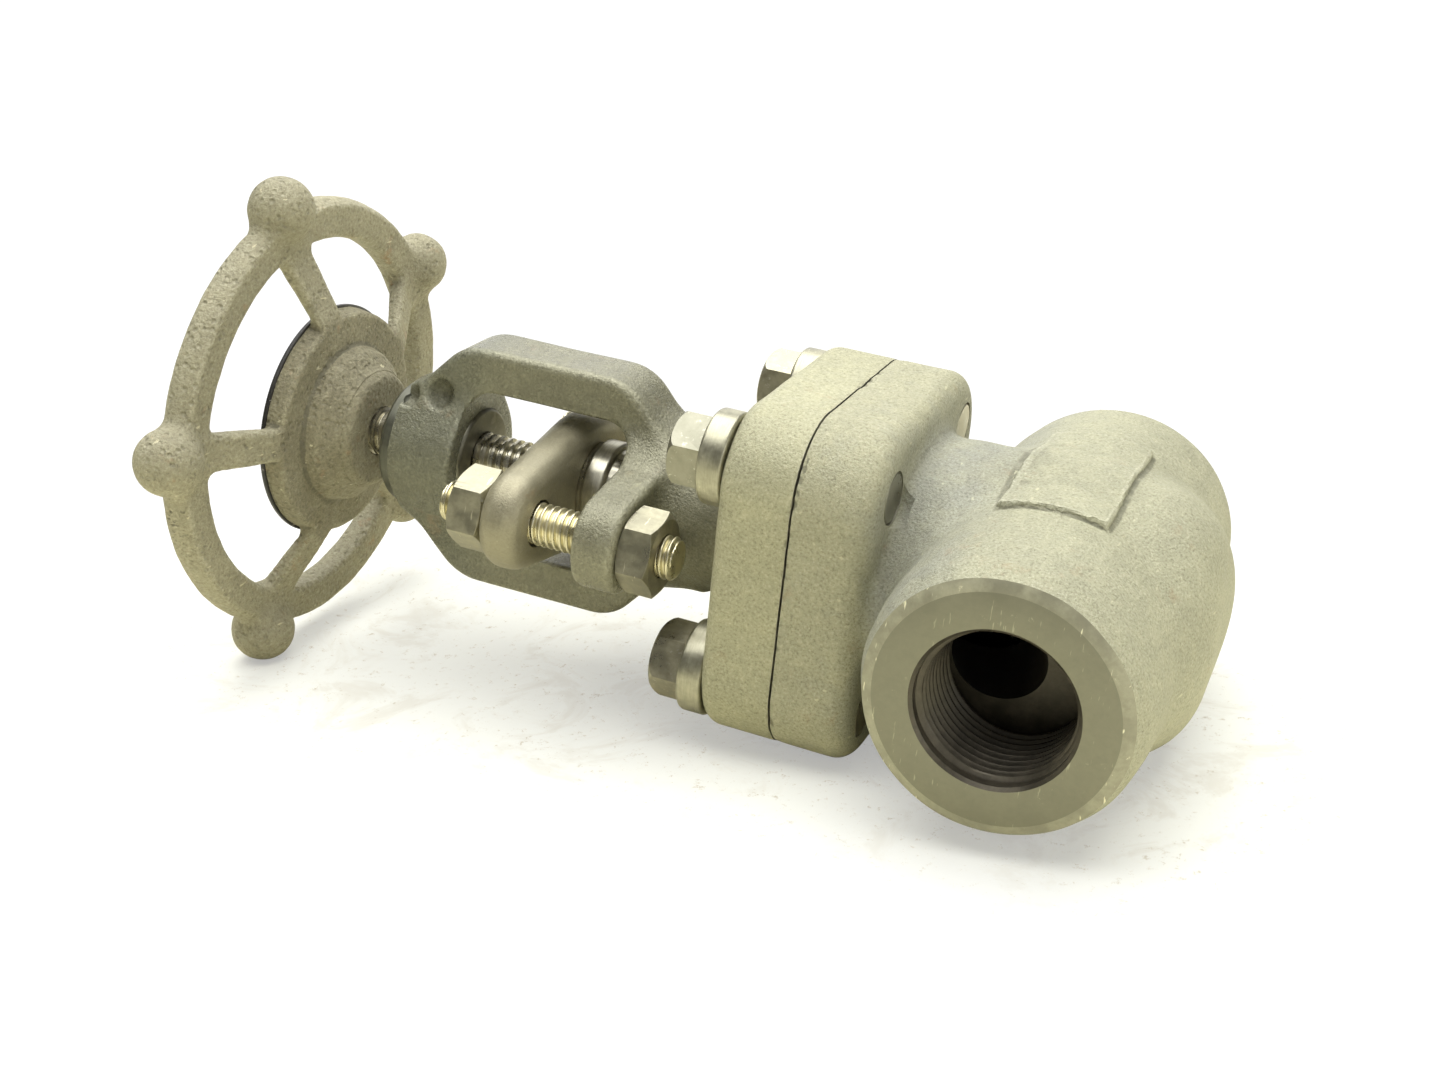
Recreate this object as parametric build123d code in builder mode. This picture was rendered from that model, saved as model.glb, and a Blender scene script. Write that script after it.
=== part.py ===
from build123d import *
from math import cos, radians, sin, tan
import os

# Needle valve with bolted bonnet, outside screw and yoke, and female threaded ends.
# Frame: origin where the port axis (X) crosses the stem axis (Z). +Z runs up the stem to the
# handwheel. The outlet port is at -X, the inlet port at +X, and the body's name pad faces -Y.
# The valve is drawn nearly shut: the needle stands 1 mm above its seat.

# ---- driving dimensions, mm ----
FIT = 0.03                  # radial gap of a screwed or pressed fit
RUNNING = 0.08              # radial gap of a running fit
# body
PORT_FACE_X = 46.5          # port face from the stem axis
PORT_END_R = 21.6           # barrel radius at the port face
PORT_SHOULDER_R = 23.4      # barrel radius a little way behind the face
PORT_SHOULDER_X = 42.0
PORT_ROOT_R = 24.4          # barrel radius where it meets the middle of the body
PORT_ROOT_X = 22.0
PORT_CHAMFER = 1.6
THREAD_R = 13.3             # port thread, major radius
THREAD_DEPTH = 19.0
THREAD_CHAMFER = 0.6
PASSAGE_R = 7.5             # drilled way between a port and the chamber above or below the seat
PASSAGE_OFFSET = 4.7        # its centre, off the port axis, at the bottom of the thread
PASSAGE_SLOPE = 23.0        # degrees from the port axis
PASSAGE_LENGTH = 24.0
NECK_R = 22.8               # round neck between barrels and flange
NECK_FILLET_R = 4.0
BULB_R = 24.5
BULB_BOTTOM_Z = -28.2
BULB_CORNER_R = 16.0
CHAMBER_R = 12.5            # bore above the seat, which the needle moves in
CHAMBER_FLOOR_Z = 4.0
LOWER_CHAMBER_Z = -18.0
PAD_LENGTH = 40.0
PAD_WIDTH = 18.5
PAD_FACE_Y = 25.0
PAD_CROWN_R = 40.0
PAD_Z = 1.0
# flanged joint
FLANGE = 62.6               # square flange, across the flats
FLANGE_CORNER_R = 14.2
FLANGE_BACK_EDGE_R = 4.0
BODY_FLANGE_BACK_Z = 27.4
BODY_FLANGE_FACE_Z = 41.5
BONNET_FACE_Z = 42.3
BONNET_FLANGE_TOP_Z = 55.5
FLANGE_EDGE_R = 3.0
GASKET_OUT_R = 16.3
GASKET_IN_R = 13.0
GASKET_SEAT_Z = 37.5
GASKET_THICKNESS = 3.2
RECESS_GAP = 0.15
# bonnet bolts, 3/8 inch
BOLT_X = 21.0
BOLT_Y = 20.4
BOLT_R = 4.7
BOLT_CLEARANCE_R = 5.1
BOLT_HEAD_AF = 12.7
BOLT_HEAD_HEIGHT = 6.6
BOLT_COLLAR_R = 8.6
BOLT_COLLAR_HEIGHT = 4.8
BOLT_TURNS = (23.0, 53.0, 41.0, 8.0)    # where each head's corners stopped when it was tightened
SPOT_FACE_R = 6.4
# bonnet and yoke
NECK_TUBE_R = 13.7
STUFFING_R = 8.2
STUFFING_FLOOR_Z = 54.0
SPIGOT_R = 12.3
SPIGOT_BOTTOM_Z = 33.0
YOKE_HALF_THICKNESS = 6.6
ARM_OUT_Y = 24.3
ARM_IN_Y = 16.0
WINDOW_FLOOR_Z = 82.2
WINDOW_TOP_Z = 117.7
WINDOW_CORNER_R = 6.0
YOKE_EDGE_R = 1.8
LUG_BOTTOM_Z = 73.6
LUG_END_R = 8.8
LUG_MIDDLE_R = 12.4
GUSSET_X = 19.0             # the lug widens from here into the yoke arms
GUSSET_Y = 19.0
LUG_EDGE_R = 1.2
HUB_R = 12.4
HUB_ROOT_R = 13.1
HUB_TOP_Z = 134.0
# gland, with 5/16 inch studs
STUD_X = 22.9
STUD_R = 4.0
STUD_BOTTOM_Z = 64.4
STUD_TOP_Z = 111.4
STUD_CHAMFER = 0.7
NUT_AF = 13.9
LUG_NUT_HEIGHT = 6.4
GLAND_BOTTOM_Z = 92.4
GLAND_TOP_Z = 101.0
GLAND_END_R = 9.5
GLAND_MIDDLE_R = 13.4
GLAND_EDGE_R = 3.4
GLAND_HOLE_R = 4.5
GLAND_NUT_HEIGHT = 6.9
GLAND_NUT_TURNS = (45.0, 20.0)
LUG_NUT_TURNS = (48.5, 5.0)
FOLLOWER_COLLAR_R = 9.4
FOLLOWER_COLLAR_Z = 87.0
FOLLOWER_BOTTOM_Z = 77.0
PACKING_RINGS = 5
PACKING_GAP = 0.05
# yoke bushing
BUSHING_R = 8.2
BUSHING_HEAD_R = 9.7
BUSHING_HEAD_HEIGHT = 4.0
# stem and needle
STEM_R = 4.95
STEM_TOP_Z = 163.0
STEM_TAIL_R = 4.0           # threaded end above the wheel
STEM_FLATS = 8.0            # square that drives the wheel
BUTTON_R = 6.2
BUTTON_BOTTOM_Z = 12.2
BUTTON_TOP_Z = 15.0
THREAD_RELIEF_Z = 100.0
SEAT_R = 4.5
SEAT_RING_R = 8.6
SEAT_FLANGE_R = 10.6
SEAT_TOP_Z = 6.6
NEEDLE_ANGLE = 15.0         # half angle of the cone
NEEDLE_TIP_R = 1.0
NEEDLE_LIFT = 1.0           # needle above its shut position, as drawn
PLUG_R = 9.0
PLUG_SHOULDER_Z = 10.5
PLUG_TOP_Z = 20.0
PLUG_NUT_R = 7.4
PLUG_NUT_AF = 16.0
PLUG_NUT_TOP_Z = 24.0
BACKSEAT_R = 8.0
BACKSEAT_LIFT = 7.4         # travel from the position drawn up to the backseat
BACKSEAT_BUSHING_R = 9.0
BACKSEAT_TOP_Z = 44.0
# handwheel
LOBES = 5
LOBE_ANGLE = 184.9
LOBE_R = 6.55
LOBE_CIRCLE_R = 45.5
LOBE_Z = 157.2
RIM_IN_R = 36.5
RIM_OUT_R = 44.3
RIM_BOTTOM_Z = 154.6
RIM_TOP_Z = 161.2
RIM_EDGE_R = 2.2
DISC_R = 23.2
DISC_BOTTOM_R = 22.5
DISC_BOTTOM_Z = 148.7
DISC_TOP_Z = 152.4
BOSS_R = 11.9
BOSS_BASE_R = 15.4
BOSS_BOTTOM_Z = 140.9
SPOKE_WIDTH = 7.0
PLATE_R = 23.6
PLATE_THICKNESS = 0.8
WASHER_R = 9.5
WASHER_THICKNESS = 1.6
WHEEL_NUT_AF = 14.3
WHEEL_NUT_HEIGHT = 6.4


def save(piece, name):
    """Label a finished piece and write it as parts/<name>.step."""
    piece.part.label = name
    export_step(piece.part, f"parts/{name}.step")


def at_height(height):
    """A filter for flat level faces at one height."""
    return lambda face: face.geom_type == GeomType.PLANE and abs(face.normal_at().Z) > 0.99 and \
        abs(face.center().Z - height) < 0.01


def hex_nut(across_flats, height, bore_r, bottom_z, place, turn):
    """A hexagon nut round a vertical axis at place, corners chamfered at both ends."""
    corner_r = across_flats / 2 / cos(radians(30))
    chamfer_size = corner_r - across_flats / 2 + 0.2
    with BuildPart() as chamfered_round:
        with BuildSketch(Plane(origin=(*place, bottom_z))):
            Circle(corner_r)
        extrude(amount=height)
        chamfer(chamfered_round.edges().filter_by(GeomType.CIRCLE), chamfer_size / 2, chamfer_size)
    with BuildPart() as nut:
        with BuildSketch(Plane(origin=(*place, bottom_z))):
            RegularPolygon(corner_r, 6, rotation=turn)
        extrude(amount=height)
        add(chamfered_round.part, mode=Mode.INTERSECT)
        with BuildSketch(Plane(origin=(*place, bottom_z))):
            Circle(bore_r)
        extrude(amount=height, mode=Mode.SUBTRACT)
    return nut


os.makedirs("parts", exist_ok=True)
bolt_places = [(x, y) for x in (-BOLT_X, BOLT_X) for y in (-BOLT_Y, BOLT_Y)]
stud_places = [(-STUD_X, 0), (STUD_X, 0)]

# ---- body: barrels, bulb, neck and square flange in one forging ----
with BuildPart() as name_pad:
    with BuildSketch(Plane.YZ.offset(-PAD_LENGTH / 2)):
        with Locations((PAD_CROWN_R - PAD_FACE_Y, PAD_Z)):
            Circle(PAD_CROWN_R)
        with Locations((-PAD_FACE_Y, PAD_Z)):
            Rectangle(2 * (PAD_FACE_Y - PORT_END_R), PAD_WIDTH, mode=Mode.INTERSECT)
    extrude(amount=PAD_LENGTH)
    fillet(name_pad.edges().filter_by(Axis.Y), 1.0)

with BuildPart() as body:
    with BuildSketch(Plane.XZ):
        with BuildLine():
            floor_arc = TangentArc((0, BULB_BOTTOM_Z), (BULB_R - BULB_CORNER_R, BULB_BOTTOM_Z + 1),
                                   tangent=(1, 0))
            side_arc = TangentArc(floor_arc @ 1, (BULB_R, BULB_BOTTOM_Z + BULB_CORNER_R + 1),
                                  tangent=floor_arc % 1)
            Polyline(side_arc @ 1, (NECK_R, 8), (NECK_R, BODY_FLANGE_BACK_Z + 1),
                     (0, BODY_FLANGE_BACK_Z + 1), (0, BULB_BOTTOM_Z))
        make_face()
    revolve(axis=Axis.Z)
    with BuildSketch(Plane.XY):
        with BuildLine():
            barrel = Polyline((PORT_FACE_X, 0), (PORT_FACE_X, PORT_END_R - PORT_CHAMFER),
                              (PORT_FACE_X - PORT_CHAMFER / 2, PORT_END_R),
                              (PORT_SHOULDER_X, PORT_SHOULDER_R), (PORT_ROOT_X, PORT_ROOT_R),
                              (0, PORT_ROOT_R))
            mirror(barrel, about=Plane.YZ)
            Line((-PORT_FACE_X, 0), (PORT_FACE_X, 0))
        make_face()
    revolve(axis=Axis.X)
    with BuildSketch(Plane.XY.offset(BODY_FLANGE_BACK_Z)):
        RectangleRounded(FLANGE, FLANGE, FLANGE_CORNER_R)
    extrude(amount=BODY_FLANGE_FACE_Z - BODY_FLANGE_BACK_Z)
    neck_root = body.faces().filter_by(at_height(BODY_FLANGE_BACK_Z))[0].inner_wires()[0].edges()
    fillet(neck_root, NECK_FILLET_R)
    back_edges = body.faces().filter_by(at_height(BODY_FLANGE_BACK_Z))[0].outer_wire().edges()
    fillet(back_edges, FLANGE_BACK_EDGE_R)
    # blank name pad
    add(name_pad.part)
    # joint face: gasket recess and the bore over the seat
    with BuildSketch(Plane.XY.offset(BODY_FLANGE_FACE_Z)):
        Circle(GASKET_OUT_R + RECESS_GAP)
    extrude(amount=GASKET_SEAT_Z - BODY_FLANGE_FACE_Z, mode=Mode.SUBTRACT)
    with BuildSketch(Plane.XY.offset(GASKET_SEAT_Z)):
        Circle(CHAMBER_R)
    extrude(amount=CHAMBER_FLOOR_Z - GASKET_SEAT_Z, mode=Mode.SUBTRACT)
    with BuildSketch(Plane.XY.offset(CHAMBER_FLOOR_Z)):
        Circle(SEAT_RING_R + FIT)
    extrude(amount=LOWER_CHAMBER_Z - CHAMBER_FLOOR_Z, mode=Mode.SUBTRACT)
    # ports: thread bore with a chamfered mouth, then the slanting way to its chamber
    for side in (-1, 1):
        with BuildSketch(Plane(origin=(side * PORT_FACE_X, 0, 0), x_dir=(0, 1, 0), z_dir=(-side, 0, 0))):
            Circle(THREAD_R)
        extrude(amount=THREAD_DEPTH, mode=Mode.SUBTRACT)
        thread_end = (side * (PORT_FACE_X - THREAD_DEPTH - 1), 0, -side * PASSAGE_OFFSET)
        inward = (-side * cos(radians(PASSAGE_SLOPE)), 0, -side * sin(radians(PASSAGE_SLOPE)))
        with BuildSketch(Plane(origin=thread_end, x_dir=(0, 1, 0), z_dir=inward)):
            Circle(PASSAGE_R)
        extrude(amount=PASSAGE_LENGTH, mode=Mode.SUBTRACT)
    for port_face in (body.faces().sort_by(Axis.X)[0], body.faces().sort_by(Axis.X)[-1]):
        chamfer(port_face.inner_wires()[0].edges(), THREAD_CHAMFER)
    # tapped through holes for the bonnet bolts, spot-faced behind the flange
    with BuildSketch(Plane.XY.offset(BODY_FLANGE_FACE_Z)):
        with Locations(*bolt_places):
            Circle(BOLT_R + FIT)
    extrude(amount=-(BODY_FLANGE_FACE_Z - BODY_FLANGE_BACK_Z + 8), mode=Mode.SUBTRACT)
    with BuildSketch(Plane.XY.offset(BODY_FLANGE_BACK_Z)):
        with Locations(*bolt_places):
            Circle(SPOT_FACE_R)
    extrude(amount=-8, mode=Mode.SUBTRACT)
save(body, "body")

# ---- seat ring, screwed into the bridge between the two chambers ----
seat_slope = tan(radians(NEEDLE_ANGLE))
shut_edge_z = SEAT_TOP_Z - NEEDLE_LIFT
with BuildPart() as seat_ring:
    with BuildSketch(Plane.XZ):
        with BuildLine():
            Polyline((SEAT_R, CHAMBER_FLOOR_Z - 7), (SEAT_RING_R, CHAMBER_FLOOR_Z - 7),
                     (SEAT_RING_R, CHAMBER_FLOOR_Z), (SEAT_FLANGE_R, CHAMBER_FLOOR_Z),
                     (SEAT_FLANGE_R, SEAT_TOP_Z - 0.5), (SEAT_FLANGE_R - 0.5, SEAT_TOP_Z),
                     (SEAT_R + NEEDLE_LIFT * seat_slope, SEAT_TOP_Z), (SEAT_R, shut_edge_z), close=True)
        make_face()
    revolve(axis=Axis.Z)
save(seat_ring, "seat_ring")

# ---- needle plug: cone, shoulder, and a pocket for the stem's button and the plug nut ----
needle_top_r = SEAT_R + (PLUG_SHOULDER_Z - SEAT_TOP_Z) * seat_slope
needle_tip_z = SEAT_TOP_Z - (SEAT_R - NEEDLE_TIP_R) / seat_slope
button_clearance = 0.2
with BuildPart() as needle_plug:
    with BuildSketch(Plane.XZ):
        with BuildLine():
            Polyline((0, needle_tip_z - 0.5), (NEEDLE_TIP_R - 0.4, needle_tip_z - 0.5),
                     (NEEDLE_TIP_R, needle_tip_z), (needle_top_r, PLUG_SHOULDER_Z),
                     (PLUG_R - 0.8, PLUG_SHOULDER_Z), (PLUG_R, PLUG_SHOULDER_Z + 0.8),
                     (PLUG_R, PLUG_TOP_Z), (PLUG_NUT_R + FIT, PLUG_TOP_Z),
                     (PLUG_NUT_R + FIT, BUTTON_TOP_Z + button_clearance),
                     (BUTTON_R + button_clearance, BUTTON_TOP_Z + button_clearance),
                     (BUTTON_R + button_clearance, BUTTON_BOTTOM_Z - button_clearance),
                     (0, BUTTON_BOTTOM_Z - button_clearance), close=True)
        make_face()
    revolve(axis=Axis.Z)
save(needle_plug, "needle_plug")

# ---- plug nut: keeps the button in the plug; its cone top closes on the backseat ----
with BuildPart() as plug_nut:
    with BuildSketch(Plane.XZ):
        with BuildLine():
            Polyline((STEM_R + 0.15, BUTTON_TOP_Z + 0.3), (PLUG_NUT_R, BUTTON_TOP_Z + 0.3),
                     (PLUG_NUT_R, PLUG_TOP_Z), (PLUG_NUT_AF / 2 + 1.2, PLUG_TOP_Z),
                     (PLUG_NUT_AF / 2 + 1.2, PLUG_NUT_TOP_Z - 1.2), (BACKSEAT_R, PLUG_NUT_TOP_Z),
                     (STEM_R + 0.45, PLUG_NUT_TOP_Z + BACKSEAT_R - STEM_R - 0.45),
                     (STEM_R + 0.15, PLUG_NUT_TOP_Z + BACKSEAT_R - STEM_R - 0.45), close=True)
        make_face()
    revolve(axis=Axis.Z)
    with BuildSketch(Plane.XY.offset(PLUG_TOP_Z)):
        Circle(PLUG_R + 3)
        RegularPolygon(PLUG_NUT_AF / 2, 6, major_radius=False, mode=Mode.SUBTRACT)
    extrude(amount=PLUG_NUT_TOP_Z - PLUG_TOP_Z, mode=Mode.SUBTRACT)
save(plug_nut, "plug_nut")

# ---- stem: button, plain shank through the packing, thread through the yoke, square, threaded end ----
wheel_seat_z = BOSS_BOTTOM_Z + 1.5
square_top_z = DISC_TOP_Z - 0.6
with BuildPart() as stem:
    with BuildSketch(Plane.XZ):
        with BuildLine():
            Polyline((0, BUTTON_BOTTOM_Z), (BUTTON_R - 1.0, BUTTON_BOTTOM_Z),
                     (BUTTON_R, BUTTON_BOTTOM_Z + 0.8), (BUTTON_R, BUTTON_TOP_Z), (STEM_R, BUTTON_TOP_Z),
                     (STEM_R, THREAD_RELIEF_Z), (STEM_R - 0.8, THREAD_RELIEF_Z + 0.8),
                     (STEM_R - 0.8, THREAD_RELIEF_Z + 2.2), (STEM_R, THREAD_RELIEF_Z + 3),
                     (STEM_R, square_top_z), (STEM_TAIL_R, square_top_z),
                     (STEM_TAIL_R, STEM_TOP_Z - 0.8), (STEM_TAIL_R - 0.8, STEM_TOP_Z),
                     (0, STEM_TOP_Z), close=True)
        make_face()
    revolve(axis=Axis.Z)
    with BuildSketch(Plane.XY.offset(wheel_seat_z)):
        Circle(STEM_R + 1)
        Rectangle(STEM_FLATS, STEM_FLATS, mode=Mode.SUBTRACT)
    extrude(amount=square_top_z - wheel_seat_z, mode=Mode.SUBTRACT)
save(stem, "stem")

# ---- bonnet gasket: spiral-wound ring in the body's recess ----
with BuildPart() as bonnet_gasket:
    with BuildSketch(Plane.XY.offset(GASKET_SEAT_Z)):
        Circle(GASKET_OUT_R)
        Circle(GASKET_IN_R, mode=Mode.SUBTRACT)
    extrude(amount=GASKET_THICKNESS)
save(bonnet_gasket, "bonnet_gasket")

# ---- bonnet: flange, spigot, stuffing-box neck, gland lugs, yoke frame and hub in one forging ----
# yoke frame, in the YZ plane
with BuildPart() as yoke_frame:
    with BuildSketch(Plane.YZ.offset(-YOKE_HALF_THICKNESS)):
        with BuildLine():
            right = FilletPolyline((NECK_TUBE_R - 1, 66), (NECK_TUBE_R - 0.7, 73.2), (ARM_OUT_Y, 82.4),
                                   (ARM_OUT_Y, 119), (HUB_R - 2, 132.8), radius=(4, 9, 12))
            mirror(right, about=Plane.YZ)
            Line(right @ 0, (-(right @ 0).X, 66))
            Line(right @ 1, (-(right @ 1).X, 132.8))
        make_face()
        with Locations((0, (WINDOW_FLOOR_Z + WINDOW_TOP_Z) / 2)):
            RectangleRounded(2 * ARM_IN_Y, WINDOW_TOP_Z - WINDOW_FLOOR_Z, WINDOW_CORNER_R,
                             mode=Mode.SUBTRACT)
    extrude(amount=2 * YOKE_HALF_THICKNESS)
    fillet(yoke_frame.faces().filter_by(Axis.X).edges(), YOKE_EDGE_R)

# lug bar for the gland studs, widening into the foot of each yoke arm
with BuildPart() as lug_bar:
    with BuildSketch(Plane.XY.offset(LUG_BOTTOM_Z)):
        Circle(LUG_MIDDLE_R)
        with Locations(*stud_places):
            Circle(LUG_END_R)
        make_hull()
    extrude(amount=WINDOW_FLOOR_Z - LUG_BOTTOM_Z)
    fillet(lug_bar.faces().filter_by(Axis.Z).edges(), LUG_EDGE_R)

with BuildPart() as gussets:
    with BuildSketch(Plane.XY.offset(LUG_BOTTOM_Z)):
        with BuildLine():
            Line((GUSSET_X, 0), (GUSSET_X, LUG_END_R))
            TangentArc((GUSSET_X, LUG_END_R), (YOKE_HALF_THICKNESS, GUSSET_Y), tangent=(-1, 0.1))
            Line((YOKE_HALF_THICKNESS, GUSSET_Y), (0, GUSSET_Y))
            mirror(about=Plane.YZ)
            mirror(about=Plane.XZ)
        make_face()
    extrude(amount=WINDOW_FLOOR_Z - LUG_BOTTOM_Z - LUG_EDGE_R)
    with BuildSketch(Plane.YZ.offset(-GUSSET_X)):
        with BuildLine():
            Polyline((-LUG_END_R, LUG_BOTTOM_Z + 0.5), (-GUSSET_Y, WINDOW_FLOOR_Z),
                     (GUSSET_Y, WINDOW_FLOOR_Z), (LUG_END_R, LUG_BOTTOM_Z + 0.5), close=True)
        make_face()
    extrude(amount=2 * GUSSET_X, mode=Mode.INTERSECT)

gasket_top_z = GASKET_SEAT_Z + GASKET_THICKNESS
with BuildPart() as bonnet:
    with BuildSketch(Plane.XY.offset(BONNET_FACE_Z)):
        RectangleRounded(FLANGE, FLANGE, FLANGE_CORNER_R)
    extrude(amount=BONNET_FLANGE_TOP_Z - BONNET_FACE_Z)
    fillet(bonnet.faces().sort_by(Axis.Z)[-1].edges(), FLANGE_EDGE_R)
    # neck, blended into the flange
    with BuildSketch(Plane.XY.offset(BONNET_FACE_Z)):
        Circle(NECK_TUBE_R)
    extrude(amount=WINDOW_FLOOR_Z - BONNET_FACE_Z)
    fillet(bonnet.faces().filter_by(at_height(BONNET_FLANGE_TOP_Z))[0].inner_wires()[0].edges(), 3)
    add(yoke_frame.part)
    add(lug_bar.part)
    add(gussets.part)
    # yoke hub
    with BuildSketch(Plane.XZ):
        with BuildLine():
            Polyline((0, WINDOW_TOP_Z), (HUB_ROOT_R, WINDOW_TOP_Z), (HUB_R, HUB_TOP_Z - 1),
                     (HUB_R - 1, HUB_TOP_Z), (0, HUB_TOP_Z), close=True)
        make_face()
    revolve(axis=Axis.Z)
    # raised gasket land and spigot under the flange
    with BuildSketch(Plane.XY.offset(BONNET_FACE_Z)):
        Circle(GASKET_OUT_R)
    extrude(amount=gasket_top_z - BONNET_FACE_Z)
    with BuildSketch(Plane.XY.offset(gasket_top_z)):
        Circle(SPIGOT_R)
    extrude(amount=SPIGOT_BOTTOM_Z - gasket_top_z)
    # bores: backseat, stem, stuffing box, yoke bushing
    with BuildSketch(Plane.XZ):
        with BuildLine():
            Polyline((0, SPIGOT_BOTTOM_Z), (BACKSEAT_BUSHING_R + FIT, SPIGOT_BOTTOM_Z),
                     (BACKSEAT_BUSHING_R + FIT, BACKSEAT_TOP_Z), (STEM_R + 0.25, BACKSEAT_TOP_Z),
                     (STEM_R + 0.25, STUFFING_FLOOR_Z), (STUFFING_R, STUFFING_FLOOR_Z),
                     (STUFFING_R, WINDOW_FLOOR_Z), (0, WINDOW_FLOOR_Z), close=True)
        make_face()
        with BuildLine():
            Polyline((0, WINDOW_TOP_Z), (BUSHING_HEAD_R + FIT, WINDOW_TOP_Z),
                     (BUSHING_HEAD_R + FIT, WINDOW_TOP_Z + BUSHING_HEAD_HEIGHT - 0.6),
                     (BUSHING_R + FIT, WINDOW_TOP_Z + BUSHING_HEAD_HEIGHT - 0.6),
                     (BUSHING_R + FIT, HUB_TOP_Z), (0, HUB_TOP_Z), close=True)
        make_face()
    revolve(axis=Axis.Z, mode=Mode.SUBTRACT)
    # bolt and stud holes
    with BuildSketch(Plane.XY.offset(BONNET_FACE_Z)):
        with Locations(*bolt_places):
            Circle(BOLT_CLEARANCE_R)
    extrude(amount=BONNET_FLANGE_TOP_Z - BONNET_FACE_Z, mode=Mode.SUBTRACT)
    with BuildSketch(Plane.XY.offset(LUG_BOTTOM_Z)):
        with Locations(*stud_places):
            Circle(STUD_R + FIT)
    extrude(amount=WINDOW_FLOOR_Z - LUG_BOTTOM_Z, mode=Mode.SUBTRACT)
save(bonnet, "bonnet")

# ---- backseat bushing, pressed into the bonnet's spigot ----
backseat_edge_z = PLUG_NUT_TOP_Z + BACKSEAT_LIFT
with BuildPart() as backseat_bushing:
    with BuildSketch(Plane.XZ):
        with BuildLine():
            Polyline((BACKSEAT_R + 0.4, backseat_edge_z - 0.4), (BACKSEAT_BUSHING_R, backseat_edge_z - 0.4),
                     (BACKSEAT_BUSHING_R, BACKSEAT_TOP_Z), (STEM_R + 0.2, BACKSEAT_TOP_Z),
                     (STEM_R + 0.2, backseat_edge_z + BACKSEAT_R - STEM_R - 0.2), close=True)
        make_face()
    revolve(axis=Axis.Z)
save(backseat_bushing, "backseat_bushing")

# ---- bonnet bolts with hexagon heads, and the thick collars under them ----
bolt_head_z = BONNET_FLANGE_TOP_Z + BOLT_COLLAR_HEIGHT
bolt_top_z = bolt_head_z + BOLT_HEAD_HEIGHT
corner_r = BOLT_HEAD_AF / 2 / cos(radians(30))
with BuildPart() as bolt:
    with BuildSketch(Plane.XY.offset(bolt_head_z)):
        RegularPolygon(corner_r, 6)
    extrude(amount=BOLT_HEAD_HEIGHT)
    with BuildSketch(Plane.XZ):
        with BuildLine():
            Polyline((0, bolt_head_z), (corner_r, bolt_head_z), (corner_r, bolt_top_z - 1.6))
            ThreePointArc((corner_r, bolt_top_z - 1.6), (corner_r - 0.8, bolt_top_z - 0.5),
                          (corner_r - 2.2, bolt_top_z))
            Polyline((corner_r - 2.2, bolt_top_z), (0, bolt_top_z), (0, bolt_head_z))
        make_face()
    revolve(axis=Axis.Z, mode=Mode.INTERSECT)
    with BuildSketch(Plane.XY.offset(BODY_FLANGE_BACK_Z)):
        Circle(BOLT_R)
    extrude(amount=bolt_head_z - BODY_FLANGE_BACK_Z)
    chamfer(bolt.faces().sort_by(Axis.Z)[0].edges(), 0.5)

with BuildPart() as bonnet_bolts:
    for place, turn in zip(bolt_places, BOLT_TURNS):
        with Locations(Location((*place, 0), (0, 0, turn))):
            add(bolt.part)
save(bonnet_bolts, "bonnet_bolts")

with BuildPart() as bonnet_bolt_collars:
    with BuildSketch(Plane.XY.offset(BONNET_FLANGE_TOP_Z)):
        with Locations(*bolt_places):
            Circle(BOLT_COLLAR_R)
            Circle(BOLT_R + FIT, mode=Mode.SUBTRACT)
    extrude(amount=BOLT_COLLAR_HEIGHT)
    fillet(bonnet_bolt_collars.edges().filter_by(GeomType.CIRCLE)
           .filter_by(lambda e: abs(e.radius - BOLT_COLLAR_R) < 0.01), 0.7)
save(bonnet_bolt_collars, "bonnet_bolt_collars")

# ---- graphite packing rings, stacked from the stuffing box floor up to the follower ----
packing_height = (FOLLOWER_BOTTOM_Z - STUFFING_FLOOR_Z) / PACKING_RINGS
for ring in range(PACKING_RINGS):
    with BuildPart() as packing_ring:
        with BuildSketch(Plane.XY.offset(STUFFING_FLOOR_Z + ring * packing_height + PACKING_GAP)):
            Circle(STUFFING_R - PACKING_GAP)
            Circle(STEM_R + PACKING_GAP, mode=Mode.SUBTRACT)
        extrude(amount=packing_height - 2 * PACKING_GAP)
        fillet(packing_ring.edges(), 0.3)
    save(packing_ring, f"packing_ring_{ring + 1}")

# ---- gland: follower, flange, studs and nuts ----
follower_neck_r = FOLLOWER_COLLAR_R - 0.9
with BuildPart() as gland_follower:
    with BuildSketch(Plane.XZ):
        with BuildLine():
            Polyline((STEM_R + 0.15, FOLLOWER_BOTTOM_Z), (STUFFING_R - RUNNING, FOLLOWER_BOTTOM_Z),
                     (STUFFING_R - RUNNING, FOLLOWER_COLLAR_Z),
                     (FOLLOWER_COLLAR_R - 0.5, FOLLOWER_COLLAR_Z),
                     (FOLLOWER_COLLAR_R, FOLLOWER_COLLAR_Z + 0.5),
                     (FOLLOWER_COLLAR_R, GLAND_BOTTOM_Z - 1.6), (follower_neck_r, GLAND_BOTTOM_Z - 0.8),
                     (follower_neck_r, GLAND_BOTTOM_Z), (STEM_R + 0.15, GLAND_BOTTOM_Z), close=True)
        make_face()
    revolve(axis=Axis.Z)
save(gland_follower, "gland_follower")

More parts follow.
